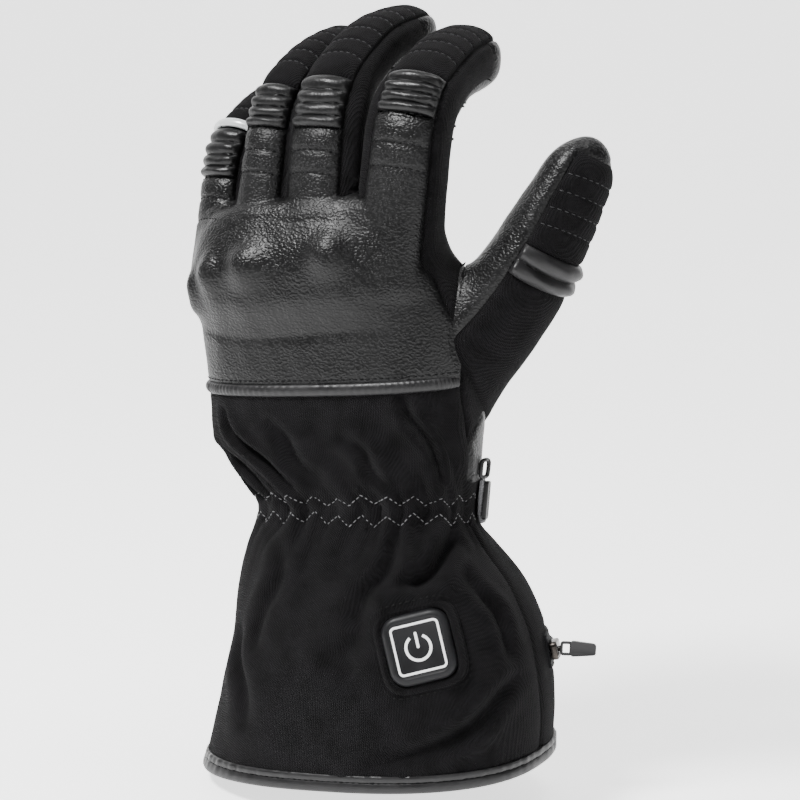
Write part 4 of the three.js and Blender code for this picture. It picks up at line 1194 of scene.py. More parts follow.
# Faces across a finger's back, along each of its ribs and along its quilted tip
ACROSS_FACES = 48
RIB_FACES = 17
TIP_FACES = 96


def back_span(name):
    """The two seams beside a finger's back, as angles."""
    return (-BACK_SPREAD, THUMB_BACK_END if name == "thumb" else BACK_SPREAD)


def side_distance(rig, angle, span):
    """How far a place on a finger's back lies from its nearer side seam."""
    arc = THUMB_ARC if rig.name == "thumb" else FINGER_ARC
    return np.minimum(angle - span[0], span[1] - angle) * arc


def row_share(share, angle, span):
    """A quilting row's share, bowed towards the tip in the middle of the back."""
    middle = (span[0] + span[1]) / 2
    half = (span[1] - span[0]) / 2
    return share + ROW_BOW * (1.0 - ((angle - middle) / half) ** 2)


def quilt_lift(rig, angle, share, settings):
    """Lift of a softshell fingertip back: puffs between stitched rows."""
    span = back_span(rig.name)
    away = side_distance(rig, angle, span)
    ends = np.minimum(share - rig.ribs[1], TIP_CAP_FROM - share) * rig.length
    lift = edge_lift(np.minimum(away, ends), settings)
    for row in QUILTING[rig.name]:
        gap = (share - row_share(row, angle, span)) * rig.length
        lift -= ROW_VALLEY * bump(gap, ROW_WIDTH) * ease(away / 2.0)
    return lift


def rib_lift(rig, angle, share, settings):
    """Lift of the accordion ribs, dying out at the side seams."""
    span = back_span(rig.name)
    away = side_distance(rig, angle, span)
    foot, top = rig.ribs
    thumb = rig.name == "thumb"
    count = THUMB_TUBE_COUNT if thumb else RIB_COUNT
    height = THUMB_TUBE_HEIGHT if thumb else RIB_HEIGHT
    along = (share - foot) / (top - foot)
    off_middle = (angle - sum(span) / 2) / (span[1] - span[0]) * 2
    bowed = along + RIB_BOW * (1.0 - off_middle ** 2) * np.sin(np.pi * along)
    ridge = np.abs(np.sin(bowed * count * np.pi)) ** RIB_SHARPNESS
    fade = ease((away + 0.3) / (THUMB_TUBE_FADE if thumb else RIB_FADE))
    wobble = 1.0 + 0.1 * np.sin(angle * 0.13 + along * 9.0)
    lift = (ridge * height * wobble + 0.15) * fade
    return lift - settings.seam_depth * bump(away, SEAM_VALLEY_REACH)


def finger_sheet(name, rig, shares, rows, lift, settings, look, node):
    """A dense patch of a finger's back between two shares of its length."""
    u, v = grid(ACROSS_FACES, rows)
    span = back_span(rig.name)
    angle = span[0] + (span[1] - span[0]) * u
    share = shares[0] + (shares[1] - shares[0]) * v
    top = rig.point(angle, share, lift(rig, angle, share, settings))
    top += rig_normal(rig, angle, share) * (0.12 * soft_waves(top, 9.0, 11))[:, None]
    floor = rig.point(angle, share, -settings.cloth_thickness)
    sheet = slab_mesh(name, top, floor, ACROSS_FACES, rows)
    if rig.name == "thumb":
        face_outward(sheet)
    note_seam(sheet, np.tile(side_distance(rig, angle, span), 2))
    finish_piece(sheet, look, node)


def rig_normal(rig, angle, share):
    """The way out of a finger at a place on it."""
    return unit(rig.point(angle, share, 1.0) - rig.point(angle, share, 0.0))


def build_finger_backs(settings):
    """The accordion ribs and the quilted softshell backs of the fingertips."""
    for name, rig in RIGS.items():
        look = "trim" if name == "thumb" else "soft_leather"
        finger_sheet(
            name + "_accordion", rig, rig.ribs, RIB_FACES * RIB_COUNT, rib_lift, settings,
            look, name + "_ribs",
        )
        finger_sheet(
            name + "_quilted_tip", rig, (rig.ribs[1], TIP_CAP_FROM), TIP_FACES, quilt_lift, settings,
            "softshell", name + "_tip_back",
        )


STITCH_SIDES = 6
# Rings of a stitch: place along it, width and rise, as shares of its length and radius
STITCH_RINGS = (
    (-0.5, 0.35, -0.9), (-0.36, 0.85, -0.1), (0.0, 1.0, 0.25), (0.36, 0.85, -0.1), (0.5, 0.35, -0.9),
)
# Length, radius and pitch of the stitches
LEATHER_STITCH = (1.9, 0.26, 2.5)
QUILTING_STITCH = (1.8, 0.19, 2.7)
GATHER_STITCH = (1.5, 0.2, 2.2)
DIRECTION_REACH = 0.4


def resampled(points, outward, pitch):
    """Even places along a path, with its direction and the outward normal at each."""
    steps = np.linalg.norm(np.diff(points, axis=0), axis=1)
    run = np.concatenate([[0.0], np.cumsum(steps)])
    count = max(1, int(run[-1] / pitch))
    at = (np.arange(count) + 0.5) * run[-1] / count

    def read_at(places, values):
        return np.stack([np.interp(places, run, values[:, axis]) for axis in range(3)], 1)

    ahead = read_at(np.minimum(at + DIRECTION_REACH, run[-1]), points)
    behind = read_at(np.maximum(at - DIRECTION_REACH, 0.0), points)
    return read_at(at, points), ahead - behind, read_at(at, outward)


def stitch_mesh(name, rows, look, size):
    """Sewn stitches along rows, each row a path with its outward normals."""
    length, radius, pitch = size
    points = []
    faces = []
    turn = full_turn(STITCH_SIDES)
    last = len(STITCH_RINGS) - 1
    shell = grid_faces(STITCH_SIDES, last, True).tolist()
    shell.append(list(range(STITCH_SIDES))[::-1])
    shell.append([last * STITCH_SIDES + k for k in range(STITCH_SIDES)])
    for path, outward in rows:
        for place, way, out in zip(*resampled(path, outward, pitch)):
            way = way / np.linalg.norm(way)
            out = out - way * (out @ way)
            out = out / np.linalg.norm(out)
            side = np.cross(way, out)
            start = len(points)
            for along, width, rise in STITCH_RINGS:
                middle = place + way * along * length + out * rise * radius
                for a in turn:
                    points.append(middle + (out * math.cos(a) + side * math.sin(a)) * width * radius)
            faces.extend([[start + k for k in face] for face in shell])
    stitches = new_mesh(name, points, faces)
    note_seam(stitches)
    finish_piece(stitches, look)


def swept_mesh(name, rings, closed_path):
    """A closed tube from rings of points, with its ends capped unless the path closes."""
    rings = np.asarray(rings)
    count, sides, _ = rings.shape
    spans = count if closed_path else count - 1
    i, k = np.meshgrid(np.arange(spans), np.arange(sides))
    i = i.ravel()
    k = k.ravel()
    ahead = (i + 1) % count
    beside = (k + 1) % sides
    corners = [i * sides + k, ahead * sides + k, ahead * sides + beside, i * sides + beside]
    faces = np.stack(corners, 1).tolist()
    if not closed_path:
        faces.append(list(range(sides))[::-1])
        faces.append([(count - 1) * sides + k for k in range(sides)])
    tube = new_mesh(name, rings.reshape(-1, 3), faces)
    face_outward(tube)
    return tube


TUBE_SIDES = 16
PIPING_RADIUS = 2.3
PIPING_SET = 0.35
PIPING_STEPS = 240
BINDING_GAP = 0.3
BINDING_FOOT = GAUNTLET_FOOT - BINDING_GAP - BINDING_THICKNESS
BINDING_STEPS = 420
BINDING_ROUND = 5
# The binding's stitches: how far above its foot, and how far out
BINDING_ROW = (BINDING_HEIGHT - 2.55, 1.0)
# The little finger's piping, coloured as a painted highlight: its rise above the ribs, radii, lift and steps
HIGHLIGHT_PIPING_RISE = 1.5
HIGHLIGHT_PIPING_RADII = (1.3, 1.35)
HIGHLIGHT_PIPING_LIFT = 0.9
HIGHLIGHT_PIPING_STEPS = 60


def build_piping():
    """The piping under the knuckle panel, slightly puckered by its stitching."""
    turn = full_turn(TUBE_SIDES)
    rings = []
    for angle in np.linspace(OUTER_SEAM, PIPING_END, PIPING_STEPS):
        pucker = 0.12 * math.sin(angle * 2.1) + 0.1 * math.sin(angle * 5.3 + 1.0)
        height = PIPING_MIDDLE + PIPING_RADIUS * np.cos(turn)
        rings.append(body_point(angle, height, PIPING_SET + (PIPING_LIFT + pucker) * np.sin(turn)))
    piping = swept_mesh("piping_tube", rings, False)
    note_seam(piping, BESIDE_SEAM)
    finish_piece(piping, "trim", "panel_piping")


def binding_profile():
    """Reach out of the cloth and height of each point round the hem's folded tape."""
    foot = BINDING_FOOT
    top = foot + BINDING_HEIGHT
    outer = BINDING_GAP + BINDING_THICKNESS
    inner = -WALL - outer
    middle = (outer + inner) / 2
    half = (outer - inner) / 2
    profile = [(outer - 1.3, top + 0.2), (outer - 0.2, top), (outer + 0.1, top - 0.7)]
    # The groove of the stitches
    profile += [(outer + 0.15, top - 2.2), (outer - 0.28, top - 2.6), (outer + 0.2, top - 3.1)]
    profile.append((outer + 0.3, foot + 2.0))
    for step in range(BINDING_ROUND + 1):
        bend = math.pi * step / BINDING_ROUND
        profile.append((middle + (half + 0.2) * math.cos(bend), foot + 1.2 - 1.4 * math.sin(bend)))
    profile += [(inner, top), (inner + 1.0, top + 0.1), (inner + 1.0, foot + 2.4), (outer - 1.3, foot + 2.4)]
    return np.array(profile), middle


def build_binding():
    """The leather tape folded round the cuff's hem."""
    profile, middle = binding_profile()
    share = np.clip((profile[:, 1] - BINDING_FOOT) / BINDING_HEIGHT, 0.0, 1.0)
    rings = []
    for angle in np.linspace(0.0, 360.0, BINDING_STEPS, endpoint=False):
        turn = math.radians(angle)
        pucker = 0.16 * math.sin(turn * 74) + 0.12 * math.sin(turn * 41 + 1.0)
        lift = profile[:, 0] + pucker * share * (profile[:, 0] > middle)
        rings.append(body_point(angle, profile[:, 1], lift))
    binding = swept_mesh("hem_bound_edge", rings, True)
    note_seam(binding, BESIDE_SEAM)
    finish_piece(binding, "trim", "hem_binding")


def build_highlight_piping():
    """The piping above the little finger's ribs, coloured light grey as a painted highlight on the rib."""
    little = RIGS["little"]
    turn = full_turn(TUBE_SIDES)
    along, out = HIGHLIGHT_PIPING_RADII
    share = little.ribs[1] + HIGHLIGHT_PIPING_RISE / little.length + along / little.length * np.cos(turn)
    lift = HIGHLIGHT_PIPING_LIFT + out * np.sin(turn)
    angles = np.linspace(-BACK_SPREAD, BACK_SPREAD, HIGHLIGHT_PIPING_STEPS)
    rings = [little.point(angle, share, lift) for angle in angles]
    edge = swept_mesh("reflective_edge", rings, False)
    note_seam(edge, BESIDE_SEAM)
    finish_piece(edge, "reflective", "little_reflective_piping")


def build_trims():
    """Every bound and piped edge."""
    build_piping()
    build_binding()
    build_highlight_piping()


def body_path(angles, heights):
    """A path laid on the body's panels, by angle and height."""
    low = body_point(angles, heights, 0.0)
    return on_surface(low, unit(body_point(angles, heights, 1.0) - low))


def finger_path(rig, angles, shares):
    """A path laid on a finger's panels, by angle and share."""
    angles, shares = np.broadcast_arrays(angles, shares)
    return on_surface(rig.point(angles, shares), rig_normal(rig, angles, shares))


PANEL_ROW = 1.3
ZIGZAG_SIDE = 99.0
# Places along each sewn path
TONGUE_PLACES = 40
QUILTING_PLACES = 50
PIPING_PLACES = 240
BINDING_PLACES = 400
ZIGZAG_PLACES = 900


def tongue_rows():
    """The rows across each leather tongue, below its ribs."""
    rows = []
    angles = np.linspace(-BACK_SPREAD + 3, BACK_SPREAD - 3, TONGUE_PLACES)
    bend = ROW_BEND * (1.0 - (angles / BACK_SPREAD) ** 2)
    for name in HANDS:
        rig = RIGS[name]
        rows += [finger_path(rig, angles, rig.ribs[0] - (below - bend) / rig.length) for below in TONGUE_ROWS]
    return rows


def quilting_rows(settings):
    """The rows across the softshell back of each fingertip."""
    rows = []
    for name, rig in RIGS.items():
        span = back_span(name)
        angles = np.linspace(span[0] + 4, span[1] - 4, QUILTING_PLACES)
        for row in QUILTING[name]:
            shares = row_share(row, angles, span)
            lift = quilt_lift(rig, angles, shares, settings) + 0.1
            rows.append((rig.point(angles, shares, lift), rig_normal(rig, angles, shares)))
    return rows


def piping_row():
    """The row above the piping."""
    angles = np.linspace(OUTER_SEAM + 1, PIPING_END - 1, PIPING_PLACES)
    return body_path(angles, np.full(PIPING_PLACES, PIPING_TOP + PANEL_ROW))


def binding_row():
    """The row round the hem's binding."""
    rise, out = BINDING_ROW
    angles = np.linspace(0, 360, BINDING_PLACES)
    outward = body_point(angles, BINDING_FOOT, 2.0) - body_point(angles, BINDING_FOOT, 1.0)
    return body_point(angles, BINDING_FOOT + rise, out), outward


def gather_rows():
    """The zigzag rows on the gathers."""
    turns = np.linspace(*arc_turn(np.array((-ZIGZAG_SIDE, ZIGZAG_SIDE))), ZIGZAG_PLACES)
    angles = np.interp(turns, ARC_TURNS, ARC_ANGLES)
    return [body_path(angles, zigzag_height(turns, row)) for row in range(len(ZIGZAGS))]


def build_stitches(settings):
    """Sewn rows on the leather, the quilting, the gathers and the binding."""
    dark = tongue_rows() + [piping_row(), binding_row(), window_row()]
    stitch_mesh("leather_stitches", dark, "dark_thread", LEATHER_STITCH)
    stitch_mesh("quilting_stitches", quilting_rows(settings), "quilt_thread", QUILTING_STITCH)
    stitch_mesh("gather_stitches", gather_rows(), "light_thread", GATHER_STITCH)


FRAME_REACH = 3.0
ORIGIN = (0.0, 0.0, 0.0)
LEVEL = 1e-3


def surface_frame(angle, height, turn=0.0):
    """A frame standing on the body: x round it, y up it and z out of it."""
    east = Vector(body_point(angle + FRAME_REACH, height) - body_point(angle - FRAME_REACH, height))
    north = Vector(body_point(angle, height + FRAME_REACH) - body_point(angle, height - FRAME_REACH))
    east.normalize()
    out = east.cross(north).normalized()
    basis = Matrix((east, out.cross(east), out)).transposed().to_4x4()
    place = Matrix.Translation(Vector(body_point(angle, height)))
    return place @ basis @ Matrix.Rotation(math.radians(turn), 4, "Z")


def start(adder, name, **settings):
    """Adds a primitive with nothing else selected and opens it for editing."""
    bpy.ops.object.select_all(action="DESELECT")
    adder(**settings)
    obj = bpy.context.object
    obj.name = name
    bpy.ops.object.mode_set(mode="EDIT")
    bpy.ops.mesh.select_mode(type="FACE")
    return obj


def pick(obj, kind, test):
    """Selects the vertices, edges or faces whose corners all pass a test, and nothing else."""
    bpy.ops.mesh.select_mode(type=kind)
    bpy.ops.mesh.select_all(action="DESELECT")
    bm = bmesh.from_edit_mesh(obj.data)
    if kind == "FACE":
        for face in bm.faces:
            face.select_set(all(test(corner.co) for corner in face.verts))
    elif kind == "EDGE":
        for edge in bm.edges:
            edge.select_set(all(test(corner.co) for corner in edge.verts))
    else:
        for corner in bm.verts:
            corner.select_set(test(corner.co))
    bm.select_flush_mode()
    bmesh.update_edit_mesh(obj.data)


def select_all():
    """Selects the whole mesh that is being edited."""
    bpy.ops.mesh.select_all(action="SELECT")


def move(x, y, z):
    """Moves what is selected."""
    bpy.ops.transform.translate(value=(x, y, z))


def lifted(height):
    """Extrudes the whole flat mesh upward."""
    select_all()
    bpy.ops.mesh.extrude_region_move(TRANSFORM_OT_translate={"value": (0.0, 0.0, height)})


def select_upright(obj):
    """Selects the edges that stand along z."""
    bpy.ops.mesh.select_mode(type="EDGE")
    bpy.ops.mesh.select_all(action="DESELECT")
    bm = bmesh.from_edit_mesh(obj.data)
    for edge in bm.edges:
        span = edge.verts[1].co - edge.verts[0].co
        edge.select_set(abs(span.z) > 0.9 * span.length)
    bm.select_flush_mode()
    bmesh.update_edit_mesh(obj.data)


def block(name, size, low, high, corner, segments=6):
    """A cube stretched to size between two heights, with its upright edges rounded."""
    obj = start(bpy.ops.mesh.primitive_cube_add, name, size=1.0)
    select_all()
    bpy.ops.transform.resize(value=(size[0], size[1], high - low))
    move(0.0, 0.0, (high + low) / 2)
    if corner:
        select_upright(obj)
        bpy.ops.mesh.bevel(offset=corner, segments=segments, affect="EDGES")
    return obj


def round_rim(obj, height, offset, segments):
    """Rounds the edges that lie at a height."""
    pick(obj, "EDGE", lambda co: abs(co.z - height) < LEVEL)
    bpy.ops.mesh.bevel(offset=offset, segments=segments, affect="EDGES")


def sink_face(obj, height, border, depth):
    """Sets the face at a height back inside a border."""
    pick(obj, "FACE", lambda co: abs(co.z - height) < LEVEL)
    bpy.ops.mesh.inset(thickness=border)
    move(0.0, 0.0, -depth)


def close_solid():
    """Turns every face outward and leaves editing."""
    select_all()
    bpy.ops.mesh.normals_make_consistent(inside=False)
    bpy.ops.object.mode_set(mode="OBJECT")


def joined(first, second, name):
    """Joins two finished solids and names them."""
    bpy.ops.object.select_all(action="DESELECT")
    first.select_set(True)
    second.select_set(True)
    bpy.context.view_layer.objects.active = first
    bpy.ops.object.join()
    first.name = name
    first.data.name = name
    return first


def finish_hard(obj, place, look, *nodes, body=BODY):
    """Sets a hard piece in its place, in metres, and finishes it."""
    obj.data.transform(Matrix.Scale(MM, 4) @ place)
    note_seam(obj)
    finish_piece(obj, look, *nodes, body=body, smooth=HARD_SMOOTH)


# Power button, in millimetres
BUTTON_SIZE = (25.5, 26.0)
BUTTON_CORNER = 6.5
BUTTON_SINK = 3.2
BUTTON_RISE = 2.0
BUTTON_FACE_RISE = 1.8
BUTTON_RIM = 2.5
BUTTON_FACE_EDGE = 0.3
WINDOW_GAP = 0.5
WINDOW_BORDER = 3.5
WINDOW_LOW = -1.1
WINDOW_SWELL = 1.7
WINDOW_FLOOR = -2.4
WINDOW_STEPS = 160
WINDOW_ROUND = 14
OUTLINE_SIZE = 18.4
OUTLINE_CORNER = 1.9
ROUNDED_SQUARE = 5.0
MARK_STROKE = 0.85
MARK_FLOOR = 1.3
MARK_TOP = 1.95
POWER_RADIUS = 4.6
POWER_STROKE = 1.05
POWER_BAR = 6.0
POWER_OPENING = 62.0
BUTTON_TURN = 11.0
BUTTON_ANGLE = 28.5
BUTTON_HEIGHT = -44.5
WINDOW_STITCH_OUT = 4.1


def rounded_outline(width, length, steps):
    """Points round a rounded square, and the way out at each."""
    turn = full_turn(steps)
    exponent = 2.0 / ROUNDED_SQUARE
    x = signed_power(np.cos(turn), exponent) * width / 2
    y = signed_power(np.sin(turn), exponent) * length / 2
    flat = np.zeros(steps)
    return np.stack([x, y, flat], 1), np.stack([np.cos(turn), np.sin(turn), flat], 1)


def carried(place, points):
    """Points of a piece's own frame, moved to their place on the glove."""
    turn = np.array(place.to_3x3())
    return points @ turn.T + np.array(place.translation)


def build_pad(place):
    """The rubber pad, slightly dished inside its rounded rim."""
    pad = block("button_rubber", BUTTON_SIZE, -BUTTON_SINK, BUTTON_RISE, BUTTON_CORNER, 10)
    round_rim(pad, BUTTON_RISE, BUTTON_RIM, 6)
    sink_face(pad, BUTTON_RISE, BUTTON_FACE_EDGE, BUTTON_RISE - BUTTON_FACE_RISE)
    close_solid()
    finish_hard(pad, place, "rubber", "button_pad")


def build_outline(place):
    """The printed line round the pad's face."""
    line = start(bpy.ops.mesh.primitive_plane_add, "button_line", size=OUTLINE_SIZE)
    select_all()
    move(0.0, 0.0, MARK_FLOOR)
    bpy.ops.mesh.bevel(offset=OUTLINE_CORNER, segments=5, affect="VERTICES")
    bpy.ops.mesh.inset(thickness=MARK_STROKE)
    bpy.ops.mesh.delete(type="FACE")
    lifted(MARK_TOP - MARK_FLOOR)
    close_solid()
    finish_hard(line, place, "print", "button_outline")


def build_power_sign(place):
    """The printed power sign: an open ring and a bar in its opening."""
    arc = start(bpy.ops.mesh.primitive_plane_add, "power_arc", size=1.0)
    select_all()
    bpy.ops.transform.rotate(value=math.radians(90.0), orient_axis="X", center_override=ORIGIN)
    bpy.ops.transform.resize(value=(POWER_STROKE, 1.0, MARK_TOP - MARK_FLOOR))
    move(POWER_RADIUS, 0.0, (MARK_TOP + MARK_FLOOR) / 2)
    sweep = math.radians(360.0 - POWER_OPENING)
    bpy.ops.mesh.spin(steps=40, angle=sweep, center=ORIGIN, axis=(0.0, 0.0, 1.0))
    close_solid()
    # The stroke's middle lies opposite its opening, which is turned to the top
    middle = sum((corner.co for corner in arc.data.vertices), Vector())
    arc.data.transform(Matrix.Rotation(-math.pi / 2 - math.atan2(middle.y, middle.x), 4, "Z"))
    finish_hard(arc, place, "print", "power_ring")
    bar = block("power_stroke", (POWER_STROKE, POWER_BAR), MARK_FLOOR, MARK_TOP, POWER_STROKE * 0.45, 4)
    select_all()
    move(0.0, POWER_BAR / 2 - 0.2, 0.0)
    close_solid()
    finish_hard(bar, place, "print", "power_bar")


def build_surround(place):
    """The padded cloth window round the pad."""
    width, length = (side + WINDOW_GAP for side in BUTTON_SIZE)
    edge, out = rounded_outline(width, length, WINDOW_STEPS)
    profile = []
    for step in range(WINDOW_ROUND + 1):
        share = step / WINDOW_ROUND
        swell = math.sin(math.pi * min(1.0, 0.12 + share)) ** 0.7
        profile.append((share * WINDOW_BORDER, WINDOW_LOW + WINDOW_SWELL * swell))
    profile += [(WINDOW_BORDER, WINDOW_FLOOR), (0.0, WINDOW_FLOOR)]
    rings = [
        [edge[k] + out[k] * reach + np.array((0.0, 0.0, rise)) for reach, rise in profile]
        for k in range(WINDOW_STEPS)
    ]
    surround = swept_mesh("button_surround", carried(place, np.array(rings)), True)
    note_seam(surround, BESIDE_SEAM)
    finish_piece(surround, "softshell", "button_window")


def build_button_pieces():
    """The rubber pad, its printed marks and the cloth window that it sits in."""
    place = surface_frame(BUTTON_ANGLE, BUTTON_HEIGHT, BUTTON_TURN)
    build_pad(place)
    build_outline(place)
    build_power_sign(place)
    build_surround(place)


def window_row():
    """The row of stitches round the button's window."""
    place = surface_frame(BUTTON_ANGLE, BUTTON_HEIGHT, BUTTON_TURN)
    width, length = (side + 2 * WINDOW_STITCH_OUT for side in BUTTON_SIZE)
    edge, _ = rounded_outline(width, length, WINDOW_STEPS)
    points = carried(place, np.concatenate([edge, edge[:1]]))
    return on_surface(points, np.tile(np.array(place.col[2])[:3], (len(points), 1)))


# Zip, in millimetres
ZIP_FROM = 101.0
ZIP_TO = 192.0
TAPE_WIDTH = 13.0
TAPE_FACES = (110, 20)
# The raised folds beside the teeth: shares across the tape, height and reach
TAPE_FOLDS = (0.26, 0.74)
TAPE_FOLD = (0.35, 0.05)
TAPE_TOP = 1.2
TAPE_FLOOR = 0.5
TOOTH_SIZE = (1.15, 3.0)
TOOTH_GAP = 0.65
TOOTH_TOP = 2.5
# The teeth start past the slider and stop before the tape's end, in degrees
TEETH_ENDS = (9.0, 3.0)
SLIDER_ANGLE = ZIP_FROM + 3.6
SLIDER_SIZE = (9.0, 7.0)
SLIDER_FLOOR = 1.5
SLIDER_TOP = 4.1
CROWN_RADIUS = 1.35
CROWN_SECTION = (0.8, 1.3, 1.0)
HINGE_RISE = SLIDER_TOP - 0.1 + 1.15
PULL_TURN = 12.0
BAIL_SIZE = (4.5, 5.4)
BAIL_WIRE = 1.0
PULL_SAG = -13.0
PULL_FROM = 3.2
PULL_TO = 13.0
PULL_WIDTHS = (5.9, 4.6)
PULL_THICKNESS = 1.8


def build_tape():
    """The zip's woven tape."""
    u, v = grid(*TAPE_FACES)
    angle = ZIP_FROM + (ZIP_TO - ZIP_FROM) * u
    height = ZIP_HEIGHT + TAPE_WIDTH * (v - 0.5)
    rise, reach = TAPE_FOLD
    fold = sum(rise * bump(v - share, reach) for share in TAPE_FOLDS)
    lift = TAPE_TOP - 0.25 + fold * ease(1.0 - np.abs(u - 0.5) * 0.2) + 0.05 * np.cos(v * 60.0)
    floor = body_point(angle, height, -TAPE_FLOOR)
    tape = slab_mesh("zip_tape_cloth", body_point(angle, height, lift), floor, *TAPE_FACES)
    note_seam(tape)
    finish_piece(tape, "zip", "zip_tape")


def build_teeth():
    """The row of moulded teeth along the tape."""
    tooth = block("tooth", TOOTH_SIZE, 0.0, TOOTH_TOP - TAPE_TOP, 0.0)
    round_rim(tooth, TOOTH_TOP - TAPE_TOP, 0.3, 2)
    close_solid()
    corners = np.array([corner.co for corner in tooth.data.vertices]) + np.array((0.0, 0.0, TAPE_TOP))
    sides = [list(face.vertices) for face in tooth.data.polygons]
    bpy.data.objects.remove(tooth)
    angles = np.linspace(ZIP_FROM + TEETH_ENDS[0], ZIP_TO - TEETH_ENDS[1], 400)
    path = body_point(angles, ZIP_HEIGHT, TAPE_TOP)
    run = np.concatenate([[0.0], np.cumsum(np.linalg.norm(np.diff(path, axis=0), axis=1))])
    count = int(run[-1] / (TOOTH_SIZE[0] + TOOTH_GAP))
    points = []
    faces = []
    for k in range(count):
        angle = float(np.interp((k + 0.5) / count * run[-1], run, angles))
        first = len(points)
        points.extend(carried(surface_frame(angle, ZIP_HEIGHT), corners).tolist())
        faces.extend([[first + corner for corner in face] for face in sides])
    teeth = new_mesh("zip_teeth_row", points, faces)
    note_seam(teeth)
    finish_piece(teeth, "zip", "zip_teeth", smooth=None)


def build_slider():
    """The slider's plate and the crown that holds the pull."""
    plate = block("slider_plate", SLIDER_SIZE, SLIDER_FLOOR, SLIDER_TOP, 1.8, 5)
    round_rim(plate, SLIDER_TOP, 0.55, 3)
    round_rim(plate, SLIDER_FLOOR, 0.35, 2)
    close_solid()
    crown = start(bpy.ops.mesh.primitive_plane_add, "slider_crown", size=1.0)
    select_all()
    bpy.ops.transform.resize(value=CROWN_SECTION)
    move(CROWN_RADIUS, 0.0, 0.0)
    bpy.ops.mesh.spin(steps=14, angle=-math.pi, center=ORIGIN, axis=(0.0, 1.0, 0.0))
    select_all()
    move(0.0, 0.0, HINGE_RISE - 0.35)
    close_solid()
    slider = joined(plate, crown, "slider_body")
    finish_hard(slider, surface_frame(SLIDER_ANGLE, ZIP_HEIGHT), "metal", "zip_slider")


def bail_loop():
    """The wire loop that hangs in the crown."""
    bail = start(bpy.ops.mesh.primitive_plane_add, "bail", size=1.0)
    select_all()
    bpy.ops.transform.resize(value=(*BAIL_SIZE, 1.0))
    move(BAIL_SIZE[0] / 2 - BAIL_WIRE / 2, 0.0, -BAIL_WIRE / 2)
    bpy.ops.mesh.bevel(offset=1.1, segments=4, affect="VERTICES")
    bpy.ops.mesh.inset(thickness=BAIL_WIRE)
    bpy.ops.mesh.delete(type="FACE")
    lifted(BAIL_WIRE)
    select_all()
    bpy.ops.mesh.bevel(offset=0.3, segments=2, affect="EDGES", clamp_overlap=True)
    close_solid()
    return bail


def moulded_tab():
    """The tab on the loop, slimmer at its end and with a sunk panel on both sides."""
    middle = (PULL_FROM + PULL_TO) / 2
    size = (PULL_TO - PULL_FROM, PULL_WIDTHS[0])
    tab = block("tab", size, -PULL_THICKNESS / 2, PULL_THICKNESS / 2, 1.3, 5)
    select_all()
    move(middle, 0.0, 0.0)
    pick(tab, "VERT", lambda co: co.x > middle)
    bpy.ops.transform.resize(value=(1.0, PULL_WIDTHS[1] / PULL_WIDTHS[0], 0.82), center_override=ORIGIN)
    for side in (-1, 1):
        pick(tab, "FACE", lambda co, s=side: co.z * s > 0.6)
        bpy.ops.mesh.inset(thickness=0.45)
        move(0.0, 0.0, -0.22 * side)
    close_solid()
    return tab


def build_pull():
    """The pull, hung in the crown and turned out from the cloth."""
    out = Matrix.Rotation(math.radians(PULL_TURN - 90.0), 4, "Y")
    sag = Matrix.Rotation(math.radians(PULL_SAG), 4, "Z")
    hinge = surface_frame(SLIDER_ANGLE, ZIP_HEIGHT) @ Matrix.Translation((0.0, 0.0, HINGE_RISE))
    pull = joined(bail_loop(), moulded_tab(), "pull_tab")
    finish_hard(pull, hinge @ out @ sag, "puller", "zip_pull", body=PULL)


def build_zip_pieces():
    """The battery pocket's zip: tape, teeth, slider and pull."""
    build_tape()
    build_teeth()
    build_slider()
    build_pull()


# Wrist strap, in millimetres
STRAP_FROM = 97.0
STRAP_TO = 263.0
STRAP_BOTTOM = -7.0
STRAP_TOP = 9.0
STRAP_FLOOR = 1.4
STRAP_LIFT = 2.6
TAB_PLACE = (102.8, 2.0)
TAB_SIZE = (5.6, 14.5)
TAB_LOW = 2.9
TAB_HIGH = 4.4
LOOP_PLACE = (100.0, 13.5)
LOOP_SIZE = (5.4, 8.2)
LOOP_WIRE = 1.7
LOOP_RISE = 2.3
LOOP_BEND = 0.9
LOOP_STEPS = 48
LOOP_SIDES = 10
STRAP_FACES = (200, 44)
STRAP_CORDS = 11.0


def build_webbing():
    """The ribbed elastic strap, gathered along its length."""
    u, v = grid(*STRAP_FACES)
    angle = STRAP_FROM + (STRAP_TO - STRAP_FROM) * u
    height = STRAP_BOTTOM + (STRAP_TOP - STRAP_BOTTOM) * v
    edge = np.minimum(np.minimum(v, 1.0 - v) * 16.0, np.minimum(u, 1.0 - u) * 130.0)
    cords = 0.22 * np.abs(np.sin(v * np.pi * STRAP_CORDS)) ** 0.5
    gathers = 0.1 * np.sin(angle * 3.1 + 2.0 * np.sin(angle * 0.21))
    lift = STRAP_LIFT - 0.2 + (cords + gathers) * ease(edge / 1.2) - 0.3 * bump(edge, 0.5)
    floor = body_point(angle, height, STRAP_FLOOR)
    strap = slab_mesh("strap_webbing", body_point(angle, height, lift), floor, *STRAP_FACES)
    note_seam(strap)
    finish_piece(strap, "elastic", "wrist_strap")


def build_strap_end():
    """The moulded tab at the strap's end."""
    tab = block("strap_end", TAB_SIZE, TAB_LOW, TAB_HIGH, 1.2, 4)
    round_rim(tab, TAB_HIGH, 0.5, 3)
    sink_face(tab, TAB_HIGH, 0.9, 0.3)
    close_solid()
    finish_hard(tab, surface_frame(*TAB_PLACE), "trim", "strap_tab")


